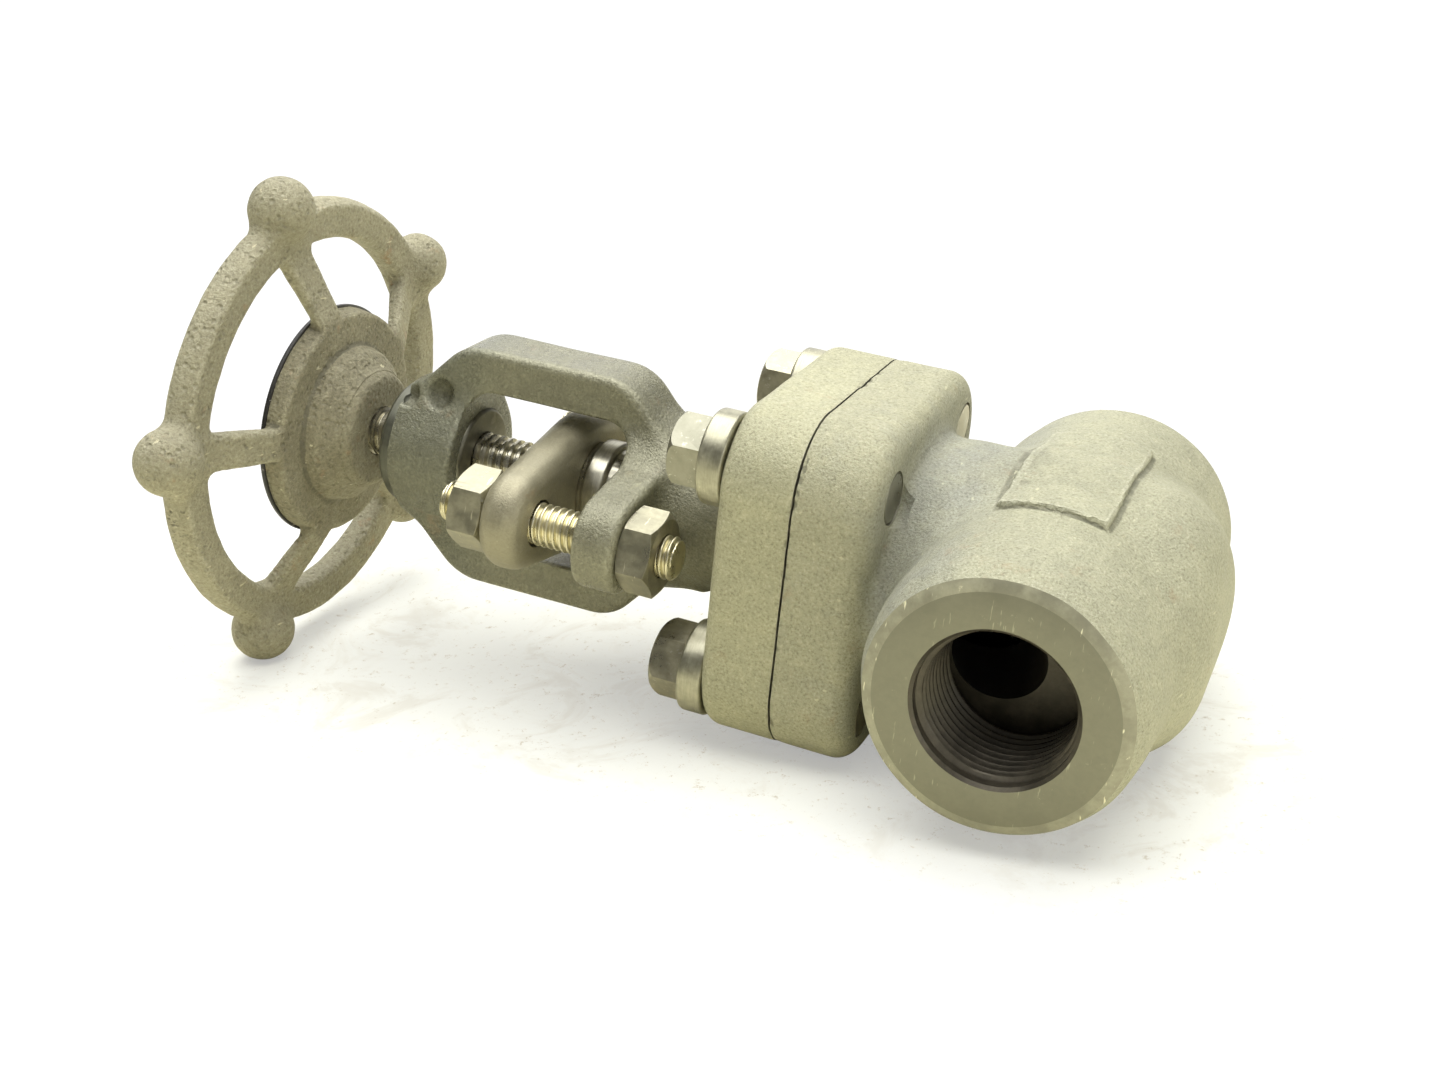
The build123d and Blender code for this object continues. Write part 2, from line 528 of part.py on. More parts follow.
with BuildPart() as gland_flange:
    with BuildSketch(Plane.XY.offset(GLAND_BOTTOM_Z)):
        Circle(GLAND_MIDDLE_R)
        with Locations(*stud_places):
            Circle(GLAND_END_R)
        make_hull()
    extrude(amount=GLAND_TOP_Z - GLAND_BOTTOM_Z)
    fillet(gland_flange.faces().filter_by(Axis.Z).edges(), GLAND_EDGE_R)
    with BuildSketch(Plane.XY.offset(GLAND_BOTTOM_Z)):
        Circle(STEM_R + 0.8)
        with Locations(*stud_places):
            Circle(GLAND_HOLE_R)
    extrude(amount=GLAND_TOP_Z - GLAND_BOTTOM_Z, mode=Mode.SUBTRACT)
save(gland_flange, "gland_flange")

for side, place, turn in zip(("left", "right"), stud_places, GLAND_NUT_TURNS):
    with BuildPart() as gland_stud:
        with BuildSketch(Plane(origin=(*place, STUD_BOTTOM_Z))):
            Circle(STUD_R)
        extrude(amount=STUD_TOP_Z - STUD_BOTTOM_Z)
        chamfer(gland_stud.edges().filter_by(GeomType.CIRCLE), STUD_CHAMFER)
    save(gland_stud, f"gland_stud_{side}")
    gland_nut = hex_nut(NUT_AF, GLAND_NUT_HEIGHT, STUD_R + RUNNING, GLAND_TOP_Z + 0.05, place, turn)
    save(gland_nut, f"gland_nut_{side}")

with BuildPart() as lug_nuts:
    for place, turn in zip(stud_places, LUG_NUT_TURNS):
        add(hex_nut(NUT_AF, LUG_NUT_HEIGHT, STUD_R + FIT, LUG_BOTTOM_Z - LUG_NUT_HEIGHT, place, turn).part)
save(lug_nuts, "lug_nuts")

# ---- yoke bushing: headed at its lower end, staked in the hub ----
head_bottom_z = WINDOW_TOP_Z - 0.6
head_top_z = head_bottom_z + BUSHING_HEAD_HEIGHT
with BuildPart() as yoke_bushing:
    with BuildSketch(Plane.XZ):
        with BuildLine():
            Polyline((STEM_R + RUNNING, head_bottom_z), (BUSHING_HEAD_R - 0.5, head_bottom_z),
                     (BUSHING_HEAD_R, head_bottom_z + 0.5), (BUSHING_HEAD_R, head_top_z),
                     (BUSHING_R, head_top_z), (BUSHING_R, HUB_TOP_Z), (BUSHING_R - 0.6, HUB_TOP_Z + 0.6),
                     (STEM_R + RUNNING, HUB_TOP_Z + 0.6), close=True)
        make_face()
    revolve(axis=Axis.Z)
save(yoke_bushing, "yoke_bushing")

# ---- handwheel: boss and disc, rim, spokes and ball lobes in one casting ----
lobe_angles = [LOBE_ANGLE + lobe * 360 / LOBES for lobe in range(LOBES)]
with BuildPart() as spoke:
    with BuildSketch(Plane.XZ.offset(-SPOKE_WIDTH / 2)):
        with BuildLine():
            Polyline((DISC_R - 3, DISC_BOTTOM_Z + 0.2), (DISC_R, DISC_BOTTOM_Z + 0.2),
                     (RIM_IN_R + 2, RIM_BOTTOM_Z + 0.7), (RIM_IN_R + 2, RIM_BOTTOM_Z + 4.6),
                     (DISC_R + 1.5, DISC_TOP_Z - 0.2), (DISC_R - 3, DISC_TOP_Z - 0.2), close=True)
        make_face()
    extrude(amount=SPOKE_WIDTH)
    fillet(spoke.faces().filter_by(Axis.Y).edges(), 1.2)

with BuildPart() as handwheel:
    with BuildSketch(Plane.XZ):
        with BuildLine():
            Polyline((0, BOSS_BOTTOM_Z), (BOSS_R - 0.8, BOSS_BOTTOM_Z), (BOSS_R, BOSS_BOTTOM_Z + 0.8),
                     (BOSS_R + 0.9, BOSS_BOTTOM_Z + 4), (BOSS_BASE_R, BOSS_BOTTOM_Z + 6.2),
                     (BOSS_BASE_R + 1, DISC_BOTTOM_Z), (DISC_BOTTOM_R - 0.6, DISC_BOTTOM_Z),
                     (DISC_BOTTOM_R, DISC_BOTTOM_Z + 0.6), (DISC_R, DISC_TOP_Z), (0, DISC_TOP_Z),
                     close=True)
        make_face()
        with Locations(((RIM_IN_R + RIM_OUT_R) / 2, (RIM_BOTTOM_Z + RIM_TOP_Z) / 2)):
            RectangleRounded(RIM_OUT_R - RIM_IN_R, RIM_TOP_Z - RIM_BOTTOM_Z, RIM_EDGE_R)
    revolve(axis=Axis.Z)
    for angle in lobe_angles:
        with Locations(Location((0, 0, 0), (0, 0, angle))):
            add(spoke.part)
            with Locations((LOBE_CIRCLE_R, 0, LOBE_Z)):
                Sphere(LOBE_R)
    # round hole over the stem's thread, then the square that the stem drives
    with BuildSketch(Plane.XY.offset(BOSS_BOTTOM_Z)):
        Circle(STEM_R + 0.1)
    extrude(amount=wheel_seat_z + 0.2 - BOSS_BOTTOM_Z, mode=Mode.SUBTRACT)
    with BuildSketch(Plane.XY.offset(wheel_seat_z + 0.2)):
        Circle(STEM_R + 0.1)
        Rectangle(STEM_FLATS + 0.1, STEM_FLATS + 0.1, mode=Mode.INTERSECT)
    extrude(amount=DISC_TOP_Z - wheel_seat_z - 0.2, mode=Mode.SUBTRACT)
save(handwheel, "handwheel")

# ---- blank wheel plate, washer and nut on top of the wheel ----
plate_top_z = DISC_TOP_Z + PLATE_THICKNESS
with BuildPart() as wheel_plate:
    with BuildSketch(Plane.XY.offset(DISC_TOP_Z)):
        Circle(PLATE_R)
        Circle(STEM_TAIL_R + 0.3, mode=Mode.SUBTRACT)
    extrude(amount=PLATE_THICKNESS)
save(wheel_plate, "wheel_plate")

with BuildPart() as wheel_washer:
    with BuildSketch(Plane.XY.offset(plate_top_z)):
        Circle(WASHER_R)
        Circle(STEM_TAIL_R + 0.3, mode=Mode.SUBTRACT)
    extrude(amount=WASHER_THICKNESS)
    chamfer(wheel_washer.faces().sort_by(Axis.Z)[-1].outer_wire().edges(), 0.3)
save(wheel_washer, "wheel_washer")

washer_top_z = plate_top_z + WASHER_THICKNESS
wheel_nut = hex_nut(WHEEL_NUT_AF, WHEEL_NUT_HEIGHT, STEM_TAIL_R + FIT, washer_top_z, (0, 0), 12)
save(wheel_nut, "wheel_nut")
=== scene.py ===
import math
from itertools import product

import bpy
import numpy as np
from mathutils import Matrix, Vector


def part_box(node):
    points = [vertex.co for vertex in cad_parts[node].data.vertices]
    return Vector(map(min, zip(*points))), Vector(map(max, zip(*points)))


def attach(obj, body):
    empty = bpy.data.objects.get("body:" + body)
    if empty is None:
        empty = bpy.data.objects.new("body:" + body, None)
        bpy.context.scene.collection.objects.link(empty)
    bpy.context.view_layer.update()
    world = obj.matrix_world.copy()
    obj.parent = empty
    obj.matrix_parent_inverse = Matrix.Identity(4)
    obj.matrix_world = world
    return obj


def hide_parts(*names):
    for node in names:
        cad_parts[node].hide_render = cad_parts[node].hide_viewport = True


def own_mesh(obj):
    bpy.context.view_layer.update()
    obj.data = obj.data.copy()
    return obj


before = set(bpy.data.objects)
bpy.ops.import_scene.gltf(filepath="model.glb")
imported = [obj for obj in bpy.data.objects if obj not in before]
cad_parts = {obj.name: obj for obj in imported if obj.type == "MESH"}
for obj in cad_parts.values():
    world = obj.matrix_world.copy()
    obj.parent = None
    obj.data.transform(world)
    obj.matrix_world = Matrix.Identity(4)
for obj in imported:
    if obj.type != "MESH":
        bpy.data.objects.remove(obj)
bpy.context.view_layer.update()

# Needle valve, lying on its +Y side. Shapes are worked out in millimetres in the CAD's frame, then scaled.
MM = 0.001

# ---------------------------------------------------------------- sizes read from the CAD nodes


def span(node, axis):
    """Lowest and highest coordinate of a CAD node along an axis, in mm."""
    low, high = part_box(node)
    i = "xyz".index(axis)
    return low[i] / MM, high[i] / MM


PORT_FACE_X = span("body", "x")[1]
FLANGE_HALF = span("body", "y")[1]
BULB_BOTTOM_Z, FLANGE_FACE_Z = span("body", "z")
# the CAD's flanges stand 0.8 apart; here the gap is narrower, because its chipped edges widen it
JOINT_GAP = 0.4
BONNET_FACE_Z = FLANGE_FACE_Z + JOINT_GAP
HUB_TOP_Z = span("bonnet", "z")[1]
STUD_X = sum(span("gland_stud_right", "x")) / 2
BOSS_BOTTOM_Z = span("handwheel", "z")[0]
DISC_TOP_Z = span("wheel_plate", "z")[0]
GLAND_BOTTOM_Z, GLAND_TOP_Z = span("gland_flange", "z")
STEM_BOTTOM_Z, STEM_TOP_Z = span("stem", "z")
# sizes of the CAD's parts that no node's box gives, in mm
BOLT_X, BOLT_Y = 21.0, 20.4
BOLT_PLACES = [(x, y) for x in (-BOLT_X, BOLT_X) for y in (-BOLT_Y, BOLT_Y)]
BARREL_R = 24.4
FLANGE_CORNER_R = 14.2
FLANGE_UNDER_Z = 27.4
FLANGE_TOP_Z = 55.5
WINDOW_Z = (82.2, 117.7)
PORT_R = 13.3
PORT_CHAMFER_R = 13.9
STEM_R = 4.95
STUD_R = 4.0
BOLT_HOLE_R = 5.1
PORT_PITCH, STEM_PITCH, TAIL_PITCH, STUD_PITCH = 1.814, 1.8, 1.25, 1.411
LOBES = 5
FIRST_LOBE = math.radians(184.9)
LOBE_R, LOBE_OUT, LOBE_Z = 6.4, 45.5, 157.2

# ---------------------------------------------------------------- distance fields, in mm


def polygon(u, v, points):
    """Signed distance in a plane to a closed polygon, negative inside."""
    nearest = np.full(np.broadcast(u, v).shape, 1e9, np.float32)
    inside = np.zeros(nearest.shape, bool)
    for (au, av), (bu, bv) in zip(points, points[1:] + points[:1]):
        eu, ev = bu - au, bv - av
        wu, wv = u - au, v - av
        t = np.clip((wu * eu + wv * ev) / (eu * eu + ev * ev), 0, 1)
        nearest = np.minimum(nearest, (wu - eu * t) ** 2 + (wv - ev * t) ** 2)
        if ev != 0:
            inside ^= ((av > v) != (bv > v)) & (u < au + (v - av) * eu / ev)
    nearest = np.sqrt(nearest)
    return np.where(inside, -nearest, nearest)


def rounded_box(u, v, half_u, half_v, r):
    """Signed distance in a plane to a rectangle with rounded corners, centred on 0."""
    qu, qv = np.abs(u) - (half_u - r), np.abs(v) - (half_v - r)
    return np.hypot(np.maximum(qu, 0), np.maximum(qv, 0)) + np.minimum(np.maximum(qu, qv), 0) - r


def fuse(a, b, r):
    """Union with a round fillet of radius r."""
    return np.maximum(r, np.minimum(a, b)) - np.hypot(np.maximum(r - a, 0), np.maximum(r - b, 0))


def both(a, b, r):
    """Intersection with its edge rounded to radius r."""
    return np.minimum(-r, np.maximum(a, b)) + np.hypot(np.maximum(r + a, 0), np.maximum(r + b, 0))


def bar_plan(x, y, reach, end_r, middle_r):
    """Plan of a bar round a middle boss: the hull of three circles along X."""
    along, across = np.abs(x), np.abs(y)
    b = (middle_r - end_r) / reach
    a = math.sqrt(1 - b * b)
    k = across * -b + along * a
    return np.where(k < 0, np.hypot(across, along) - middle_r,
                    np.where(k > a * reach, np.hypot(across, along - reach) - end_r,
                             across * a + along * b - middle_r))


def filleted(points, radii):
    """Points of a polygon with corner i rounded to radii[i]."""
    out = []
    for i, (p, r) in enumerate(zip(points, radii)):
        a, b, c = (Vector(q) for q in (points[i - 1], p, points[(i + 1) % len(points)]))
        if r == 0:
            out.append(tuple(b))
            continue
        da, dc = (a - b).normalized(), (c - b).normalized()
        half = da.angle(dc) / 2
        start, centre = b + da * (r / math.tan(half)), b + (da + dc).normalized() * (r / math.sin(half))
        first = start - centre
        turn = first.angle_signed(b + dc * (r / math.tan(half)) - centre)
        for k in range(9):
            t = -turn * k / 8
            out.append((centre.x + first.x * math.cos(t) - first.y * math.sin(t),
                        centre.y + first.x * math.sin(t) + first.y * math.cos(t)))
    return out


def swell(x, y, z, length, seed):
    """Slow random unevenness of a forged or cast skin, from -1 to 1."""
    waves = np.random.default_rng(seed)
    total = 0
    for _ in range(5):
        k = waves.normal(size=3)
        k *= 2 * math.pi / (length * np.linalg.norm(k) * waves.uniform(0.7, 1.5))
        total = total + np.sin(k[0] * x + k[1] * y + k[2] * z + waves.uniform(0, 6.28))
    return total / 5


def chips(x, y, z, joint_z):
    """How far the flange's skin is chipped back along the joint, in mm."""
    chip_reach, least, most = 1.3, 0.12, 0.7
    close = np.clip(1 - np.abs(z - joint_z) / chip_reach, 0, 1)
    uneven = swell(x, y, z, 6, 8) + 0.5 * swell(x, y, z, 2.4, 9)
    return close * (least + 0.9 * np.clip(uneven - least, 0, most))


def body_field(x, y, z):
    """The body forging: barrel, bulb under the chamber, neck, flange and the raised blank pad."""
    barrel = polygon(np.abs(x), np.hypot(y, z),
                     [(-9, -9), (50, -9), (50, 20.0), (46, 21.75), (42, 23.25), (35, 24.0), (22, BARREL_R),
                      (-9, BARREL_R)])
    around = np.hypot(x, y)
    # the fillet with the barrel swells the bulb down to the CAD's lowest point
    bulb_middle_z, bulb_half = 3.15, 1.85 - BULB_BOTTOM_Z
    bulb = rounded_box(around, z - bulb_middle_z, BARREL_R, bulb_half, 14.5)
    neck = np.maximum(np.maximum(around - 22.8, -z), z - 38)
    flange = both(rounded_box(x, y, FLANGE_HALF, FLANGE_HALF, FLANGE_CORNER_R), FLANGE_UNDER_Z - z, 4.0)
    flange = np.maximum(flange, z - 45)
    # the fillets run out towards +-Y, where the round parts have one common tangent
    open_side = np.clip(1 - (y / BARREL_R) ** 2, 0, 1)
    fillet = 3.0 + 5.0 * open_side
    f = fuse(barrel, bulb, fillet)
    f = fuse(f, neck, fillet)
    f = fuse(f, flange, 5.0)
    f = f + 0.10 * swell(x, y, z, 11, 1) + chips(x, y, z, FLANGE_FACE_Z)
    pad_half_x, pad_half_z, pad_middle_z = 20, 9.25, 1
    pad_height, pad_crown = 1.0, 0.3
    pad = both(np.maximum(np.abs(x) - pad_half_x, np.abs(z - pad_middle_z) - pad_half_z),
               f - pad_height - pad_crown * ((z - pad_middle_z) / pad_half_z) ** 2, 0.35)
    pad = np.maximum(pad, y + 12) + 0.05 * swell(x, y, z, 3, 2)
    return fuse(f, pad, 0.5)


def bonnet_field(x, y, z):
    """The bonnet forging: flange, neck, gland lugs, yoke and its hub."""
    around = np.hypot(x, y)
    flange = both(rounded_box(x, y, FLANGE_HALF, FLANGE_HALF, FLANGE_CORNER_R), z - FLANGE_TOP_Z, 3.0)
    flange = np.maximum(flange, 38 - z)
    spigot = np.maximum(np.maximum(around - 18, 30 - z), z - 45)
    neck = np.maximum(np.maximum(around - 13.7, 45 - z), z - 80)
    outline = filleted([(-9, 66), (12.9, 66), (13.2, 74.6), (24.3, 84.4), (24.3, 119), (9.0, 133.9),
                        (-9, 133.9)],
                       [0, 0, 5, 10, 11, 0, 0])
    window_half_y, yoke_half_x = 16, 6.6
    window = rounded_box(y, z - sum(WINDOW_Z) / 2, window_half_y, (WINDOW_Z[1] - WINDOW_Z[0]) / 2, 6)
    yoke = both(polygon(np.abs(y), z, outline), np.abs(x) - yoke_half_x, 1.5)
    hub = polygon(around, z, [(-9, 112), (13.3, 112), (13.1, 117.7), (12.45, 137), (-9, 137)])
    lug_middle_z, lug_half = 77.9, 4.3
    lugs = both(bar_plan(x, y, STUD_X, end_r=8.8, middle_r=12.4), np.abs(z - lug_middle_z) - lug_half, 1.5)
    f = fuse(yoke, hub, 4.5)
    f = fuse(f, lugs, 7.0)
    f = fuse(f, neck, 3.5)
    f = fuse(f, flange, 3.5)
    f = fuse(f, spigot, 0.3)
    f = f + 0.09 * swell(x, y, z, 9, 3) + chips(x, y, z, FLANGE_FACE_Z)
    f = both(f, -window, 0.8)
    # two round dents in the side of the hub
    dents = np.minimum(np.sqrt((x + 6.5) ** 2 + (y + 12.0) ** 2 + (z - 130.2) ** 2) - 2.2,
                       np.sqrt((x + 7.2) ** 2 + (y + 13.9) ** 2 + (z - 123.4) ** 2) - 2.7)
    return both(f, -dents, 1.2)


def wheel_field(x, y, z):
    """The handwheel casting: rim, five spokes and lobes, and the disc with its boss."""
    around = np.hypot(x, y)
    turn = math.radians(360 / LOBES)
    angle = np.mod(np.arctan2(y, x) - FIRST_LOBE + turn / 2, turn) - turn / 2
    along, across = around * np.cos(angle), around * np.sin(angle)
    rim = polygon(around, z, filleted([(36.5, 154.8), (43.2, 154.8), (44.3, 157.4), (44.3, 161.2),
                                       (36.6, 161.2)],
                                      [1.5, 0.8, 1.4, 2.4, 2.6]))
    ball = np.sqrt((along - LOBE_OUT) ** 2 + across ** 2 + (z - LOBE_Z) ** 2) - LOBE_R
    spoke_side = np.abs(across) - (2.7 + 0.027 * along)
    spoke = both(polygon(along, z, [(12, 148.8), (23.2, 148.8), (38.5, 155.2), (38.5, 159.4), (24.8, 152.3),
                                    (12, 152.3)]), spoke_side, 1.0)
    disc = polygon(around, z, filleted([(-9, 137), (11.9, 137), (12.0, 143.0), (15.3, 146.0), (16.2, 148.7),
                                        (22.6, 148.7), (23.2, 153), (-9, 153)],
                                       [0, 0, 3, 1.6, 0.3, 0.7, 0, 0]))
    f = fuse(rim, spoke, 2.0)
    f = fuse(f, disc, 0.7)
    f = fuse(f, ball, 2.2)
    return f + 0.10 * swell(x, y, z, 7, 4) + 0.04 * swell(x, y, z, 2.6, 5)


def gland_field(x, y, z):
    """The gland flange: a bar with round ends and a wider middle."""
    middle = (GLAND_BOTTOM_Z + GLAND_TOP_Z) / 2
    half = (GLAND_TOP_Z - GLAND_BOTTOM_Z) / 2
    bar = both(bar_plan(x, y, STUD_X, end_r=9.5, middle_r=13.4), np.abs(z - middle) - half, 3.6)
    return bar + 0.05 * swell(x, y, z, 6, 6)


# ---------------------------------------------------------------- meshes


def gradient(field, p, h=0.08):
    """Slope of the field at points p."""
    return np.stack([(field(*(p + d).T) - field(*(p - d).T)) / (2 * h) for d in np.eye(3) * h], 1)


def surface(field, low, high, step):
    """Closed quad mesh of the field's zero level, by surface nets, then drawn onto the field."""
    low = np.array(low, np.float32)
    count = np.ceil((np.array(high) - low) / step).astype(int) + 1
    lines = [low[i] + step * np.arange(count[i], dtype=np.float32) for i in range(3)]
    slabs = [field(*np.meshgrid(part, lines[1], lines[2], indexing="ij", copy=False))
             for part in np.array_split(lines[0], 8)]
    f = np.concatenate(slabs, 0)
    inside = f < 0
    corners = list(product((0, 1), repeat=3))
    total = sum(inside[i:count[0] - 1 + i, j:count[1] - 1 + j, k:count[2] - 1 + k].astype(np.int8)
                for i, j, k in corners)
    active = (total > 0) & (total < 8)
    cells = np.argwhere(active)
    index = np.full(active.shape, -1, np.int64)
    index[active] = np.arange(len(cells))
    place, hits = np.zeros((len(cells), 3)), np.zeros(len(cells))
    for a, b in product(corners, repeat=2):
        if sum(b) - sum(a) != 1 or any(q < p for p, q in zip(a, b)):
            continue
        fa, fb = f[tuple((cells + a).T)], f[tuple((cells + b).T)]
        cross = (fa < 0) != (fb < 0)
        t = fa[cross] / (fa[cross] - fb[cross])
        place[cross] += np.array(a) + t[:, None] * (np.array(b) - a)
        hits[cross] += 1
    verts = low + step * (cells + place / hits[:, None])
    quads = []
    for axis in range(3):
        u, v = (axis + 1) % 3, (axis + 2) % 3
        lo = [slice(None)] * 3
        hi = [slice(None)] * 3
        lo[axis], hi[axis] = slice(0, -1), slice(1, None)
        change = inside[tuple(lo)] != inside[tuple(hi)]
        edge = np.argwhere(change)
        edge = edge[(edge[:, u] > 0) & (edge[:, v] > 0)
                    & (edge[:, u] < count[u] - 1) & (edge[:, v] < count[v] - 1)]
        step_u, step_v = np.eye(3, dtype=int)[u], np.eye(3, dtype=int)[v]
        ring = [edge - step_u - step_v, edge - step_v, edge, edge - step_u]
        quad = np.stack([index[tuple(c.T)] for c in ring], 1)
        leaving = inside[tuple(edge.T)]
        quad[~leaving] = quad[~leaving][:, ::-1]
        quads.append(quad)
    quads = np.concatenate(quads)
    for _ in range(3):
        slope = gradient(field, verts)
        value = field(*verts.T)
        move = slope * (value / np.maximum((slope ** 2).sum(1), 0.3))[:, None]
        verts = verts - np.clip(move, -0.4 * step, 0.4 * step)
    return verts, quads


def bulge(field, p, h=0.9):
    """How convex the skin is at points p: positive on edges, negative in corners."""
    total = -6 * field(*p.T)
    for d in np.eye(3) * h:
        total = total + field(*(p + d).T) + field(*(p - d).T)
    return np.clip(total / (h * h), -1.5, 1.5)


def new_piece(name, verts, faces):
    """A mesh object from points in mm."""
    mesh = bpy.data.meshes.new(name)
    verts = np.asarray(verts, float)
    mesh.from_pydata((verts * MM).tolist(), [], faces if isinstance(faces, list) else faces.tolist())
    mesh.validate()
    mesh.update()
    piece = bpy.data.objects.new(name, mesh)
    bpy.context.scene.collection.objects.link(piece)
    return piece


def lathe(name, points, axis="z", steps=128):
    """A closed solid turned about axis, z or x. points are (radius, height) round it, anticlockwise."""
    verts, rings = [], []
    angles = [2 * math.pi * k / steps for k in range(steps)]
    for r, h in points:
        if r < 1e-6:
            rings.append([len(verts)] * steps)
            verts.append((0, 0, h))
        else:
            rings.append(list(range(len(verts), len(verts) + steps)))
            verts += [(r * math.cos(a), r * math.sin(a), h) for a in angles]
    faces = []
    for low, high in zip(rings, rings[1:] + rings[:1]):
        for k in range(steps):
            n = (k + 1) % steps
            face = [low[k], low[n], high[n], high[k]]
            face = [v for i, v in enumerate(face) if v not in face[:i]]
            if len(face) > 2:
                faces.append(face)
    verts = np.array(verts)
    if axis == "x":
        verts = verts[:, [2, 0, 1]]
    return new_piece(name, verts, faces)


def rod(name, start, end, r, steps=64):
    """A closed cylinder between two points."""
    start, end = Vector(start), Vector(end)
    piece = lathe(name, [(0, 0), (r, 0), (r, (end - start).length), (0, (end - start).length)], steps=steps)
    turn = (end - start).to_track_quat("Z", "Y").to_matrix().to_4x4()
    piece.data.transform(Matrix.Translation(start * MM) @ turn)
    return piece


def cut(piece, cutters):
    """Take the cutters away from a piece and remove them."""
    for cutter in cutters:
        modifier = piece.modifiers.new("cut", "BOOLEAN")
        modifier.operation = "DIFFERENCE"
        modifier.solver = "MANIFOLD"
        modifier.object = cutter
    bpy.context.view_layer.update()
    done = bpy.data.meshes.new_from_object(piece.evaluated_get(bpy.context.evaluated_depsgraph_get()))
    piece.modifiers.clear()
    old = piece.data
    piece.data = done
    bpy.data.meshes.remove(old)
    for cutter in cutters:
        bpy.data.objects.remove(cutter)


def smooth(piece, degrees=32):
    """Smooth shading with sharp edges kept."""
    piece.data.shade_smooth()
    piece.data.set_sharp_from_angle(angle=math.radians(degrees))


def store(piece, name, values):
    """A number at each vertex, for the materials."""
    attribute = piece.data.attributes.new(name, "FLOAT", "POINT")
    attribute.data.foreach_set("value", np.asarray(values, np.float32))


def points_of(piece):
    """A piece's points, in mm."""
    co = np.empty(len(piece.data.vertices) * 3, np.float32)
    piece.data.vertices.foreach_get("co", co)
    return co.reshape(-1, 3).astype(float) / MM


def faces_of(piece):
    """Centres, in mm, and normals of a piece's faces."""
    count = len(piece.data.polygons)
    centre, normal = np.empty(count * 3), np.empty(count * 3)
    piece.data.polygons.foreach_get("center", centre)
    piece.data.polygons.foreach_get("normal", normal)
    return centre.reshape(-1, 3) / MM, normal.reshape(-1, 3)


def set_slots(piece, materials, which=None):
    """Give a piece its materials; which holds a slot number for each face."""
    piece.data.materials.clear()
    for material in materials:
        piece.data.materials.append(material)
    if which is not None:
        piece.data.polygons.foreach_set("material_index", np.asarray(which, np.int32))
    piece.data.update()


def thread(name, r, depth, pitch, z0, z1, place=(0, 0), inner=False, taper=0.0, steps=64, chamfer=0.8, flat=0.2,
           wall=None):
    """A helical thread as its own skin: a closed screw from z0 to z1, or with inner a lining of that hole.
    r is the major radius. flat is the share of the pitch that the crest takes. A lining narrows by taper for
    each mm along it, and ends at each side in an open rim of radius wall, inside the metal round the hole."""
    rows_per_turn = 12
    turns = int(math.ceil((z1 - z0) / pitch)) + 2
    rows = turns * rows_per_turn + 1
    verts = np.zeros((rows + rows_per_turn, steps, 3))
    for j in range(steps):
        t = np.arange(rows + rows_per_turn) / rows_per_turn
        z = z0 - 1.5 * pitch + pitch * (t + j / steps)
        phase = np.mod(t, 1.0)
        ramp = np.clip((np.abs(phase - 0.5) * 2 - flat) / (1 - flat - 0.12), 0, 1)
        ramp = ramp * ramp * (3 - 2 * ramp) * 0.45 + ramp * 0.55
        radius = r - depth * ramp if not inner else r - depth * (1 - ramp)
        radius = radius - taper * (z - z0)
        clipped = np.clip(z, z0, z1)
        beyond = np.abs(z - clipped)
        if inner:
            edge = np.minimum(z1 - clipped, clipped - z0)
            radius = np.maximum(radius, r - np.maximum(edge, 0) * 1.2)
            radius = np.where(beyond > 0, np.minimum(radius + beyond * 3, wall), radius)
        else:
            edge = np.minimum(clipped - z0, z1 - clipped)
            radius = np.minimum(radius, r - chamfer + np.maximum(edge, 0))
            radius = np.where(beyond > 0, radius * np.clip(1 - beyond / (0.45 * pitch), 0, 1), radius)
        a = 2 * math.pi * j / steps
        verts[:, j] = np.stack([place[0] + radius * math.cos(a), place[1] + radius * math.sin(a), clipped], 1)
    faces = []
    for i in range(rows - 1):
        for j in range(steps):
            if j < steps - 1:
                quad = [i * steps + j, i * steps + j + 1, (i + 1) * steps + j + 1, (i + 1) * steps + j]
            else:
                quad = [i * steps + j, (i + rows_per_turn) * steps, (i + rows_per_turn + 1) * steps,
                        (i + 1) * steps + j]
            faces.append(quad if not inner else quad[::-1])
    return new_piece(name, verts.reshape(-1, 3), faces)


def join(name, pieces):
    """Several pieces as one mesh object."""
    with bpy.context.temp_override(active_object=pieces[0], selected_editable_objects=pieces, object=pieces[0]):
        bpy.ops.object.join()
    pieces[0].name = name
    pieces[0].data.name = name
    return pieces[0]


# ---------------------------------------------------------------- materials


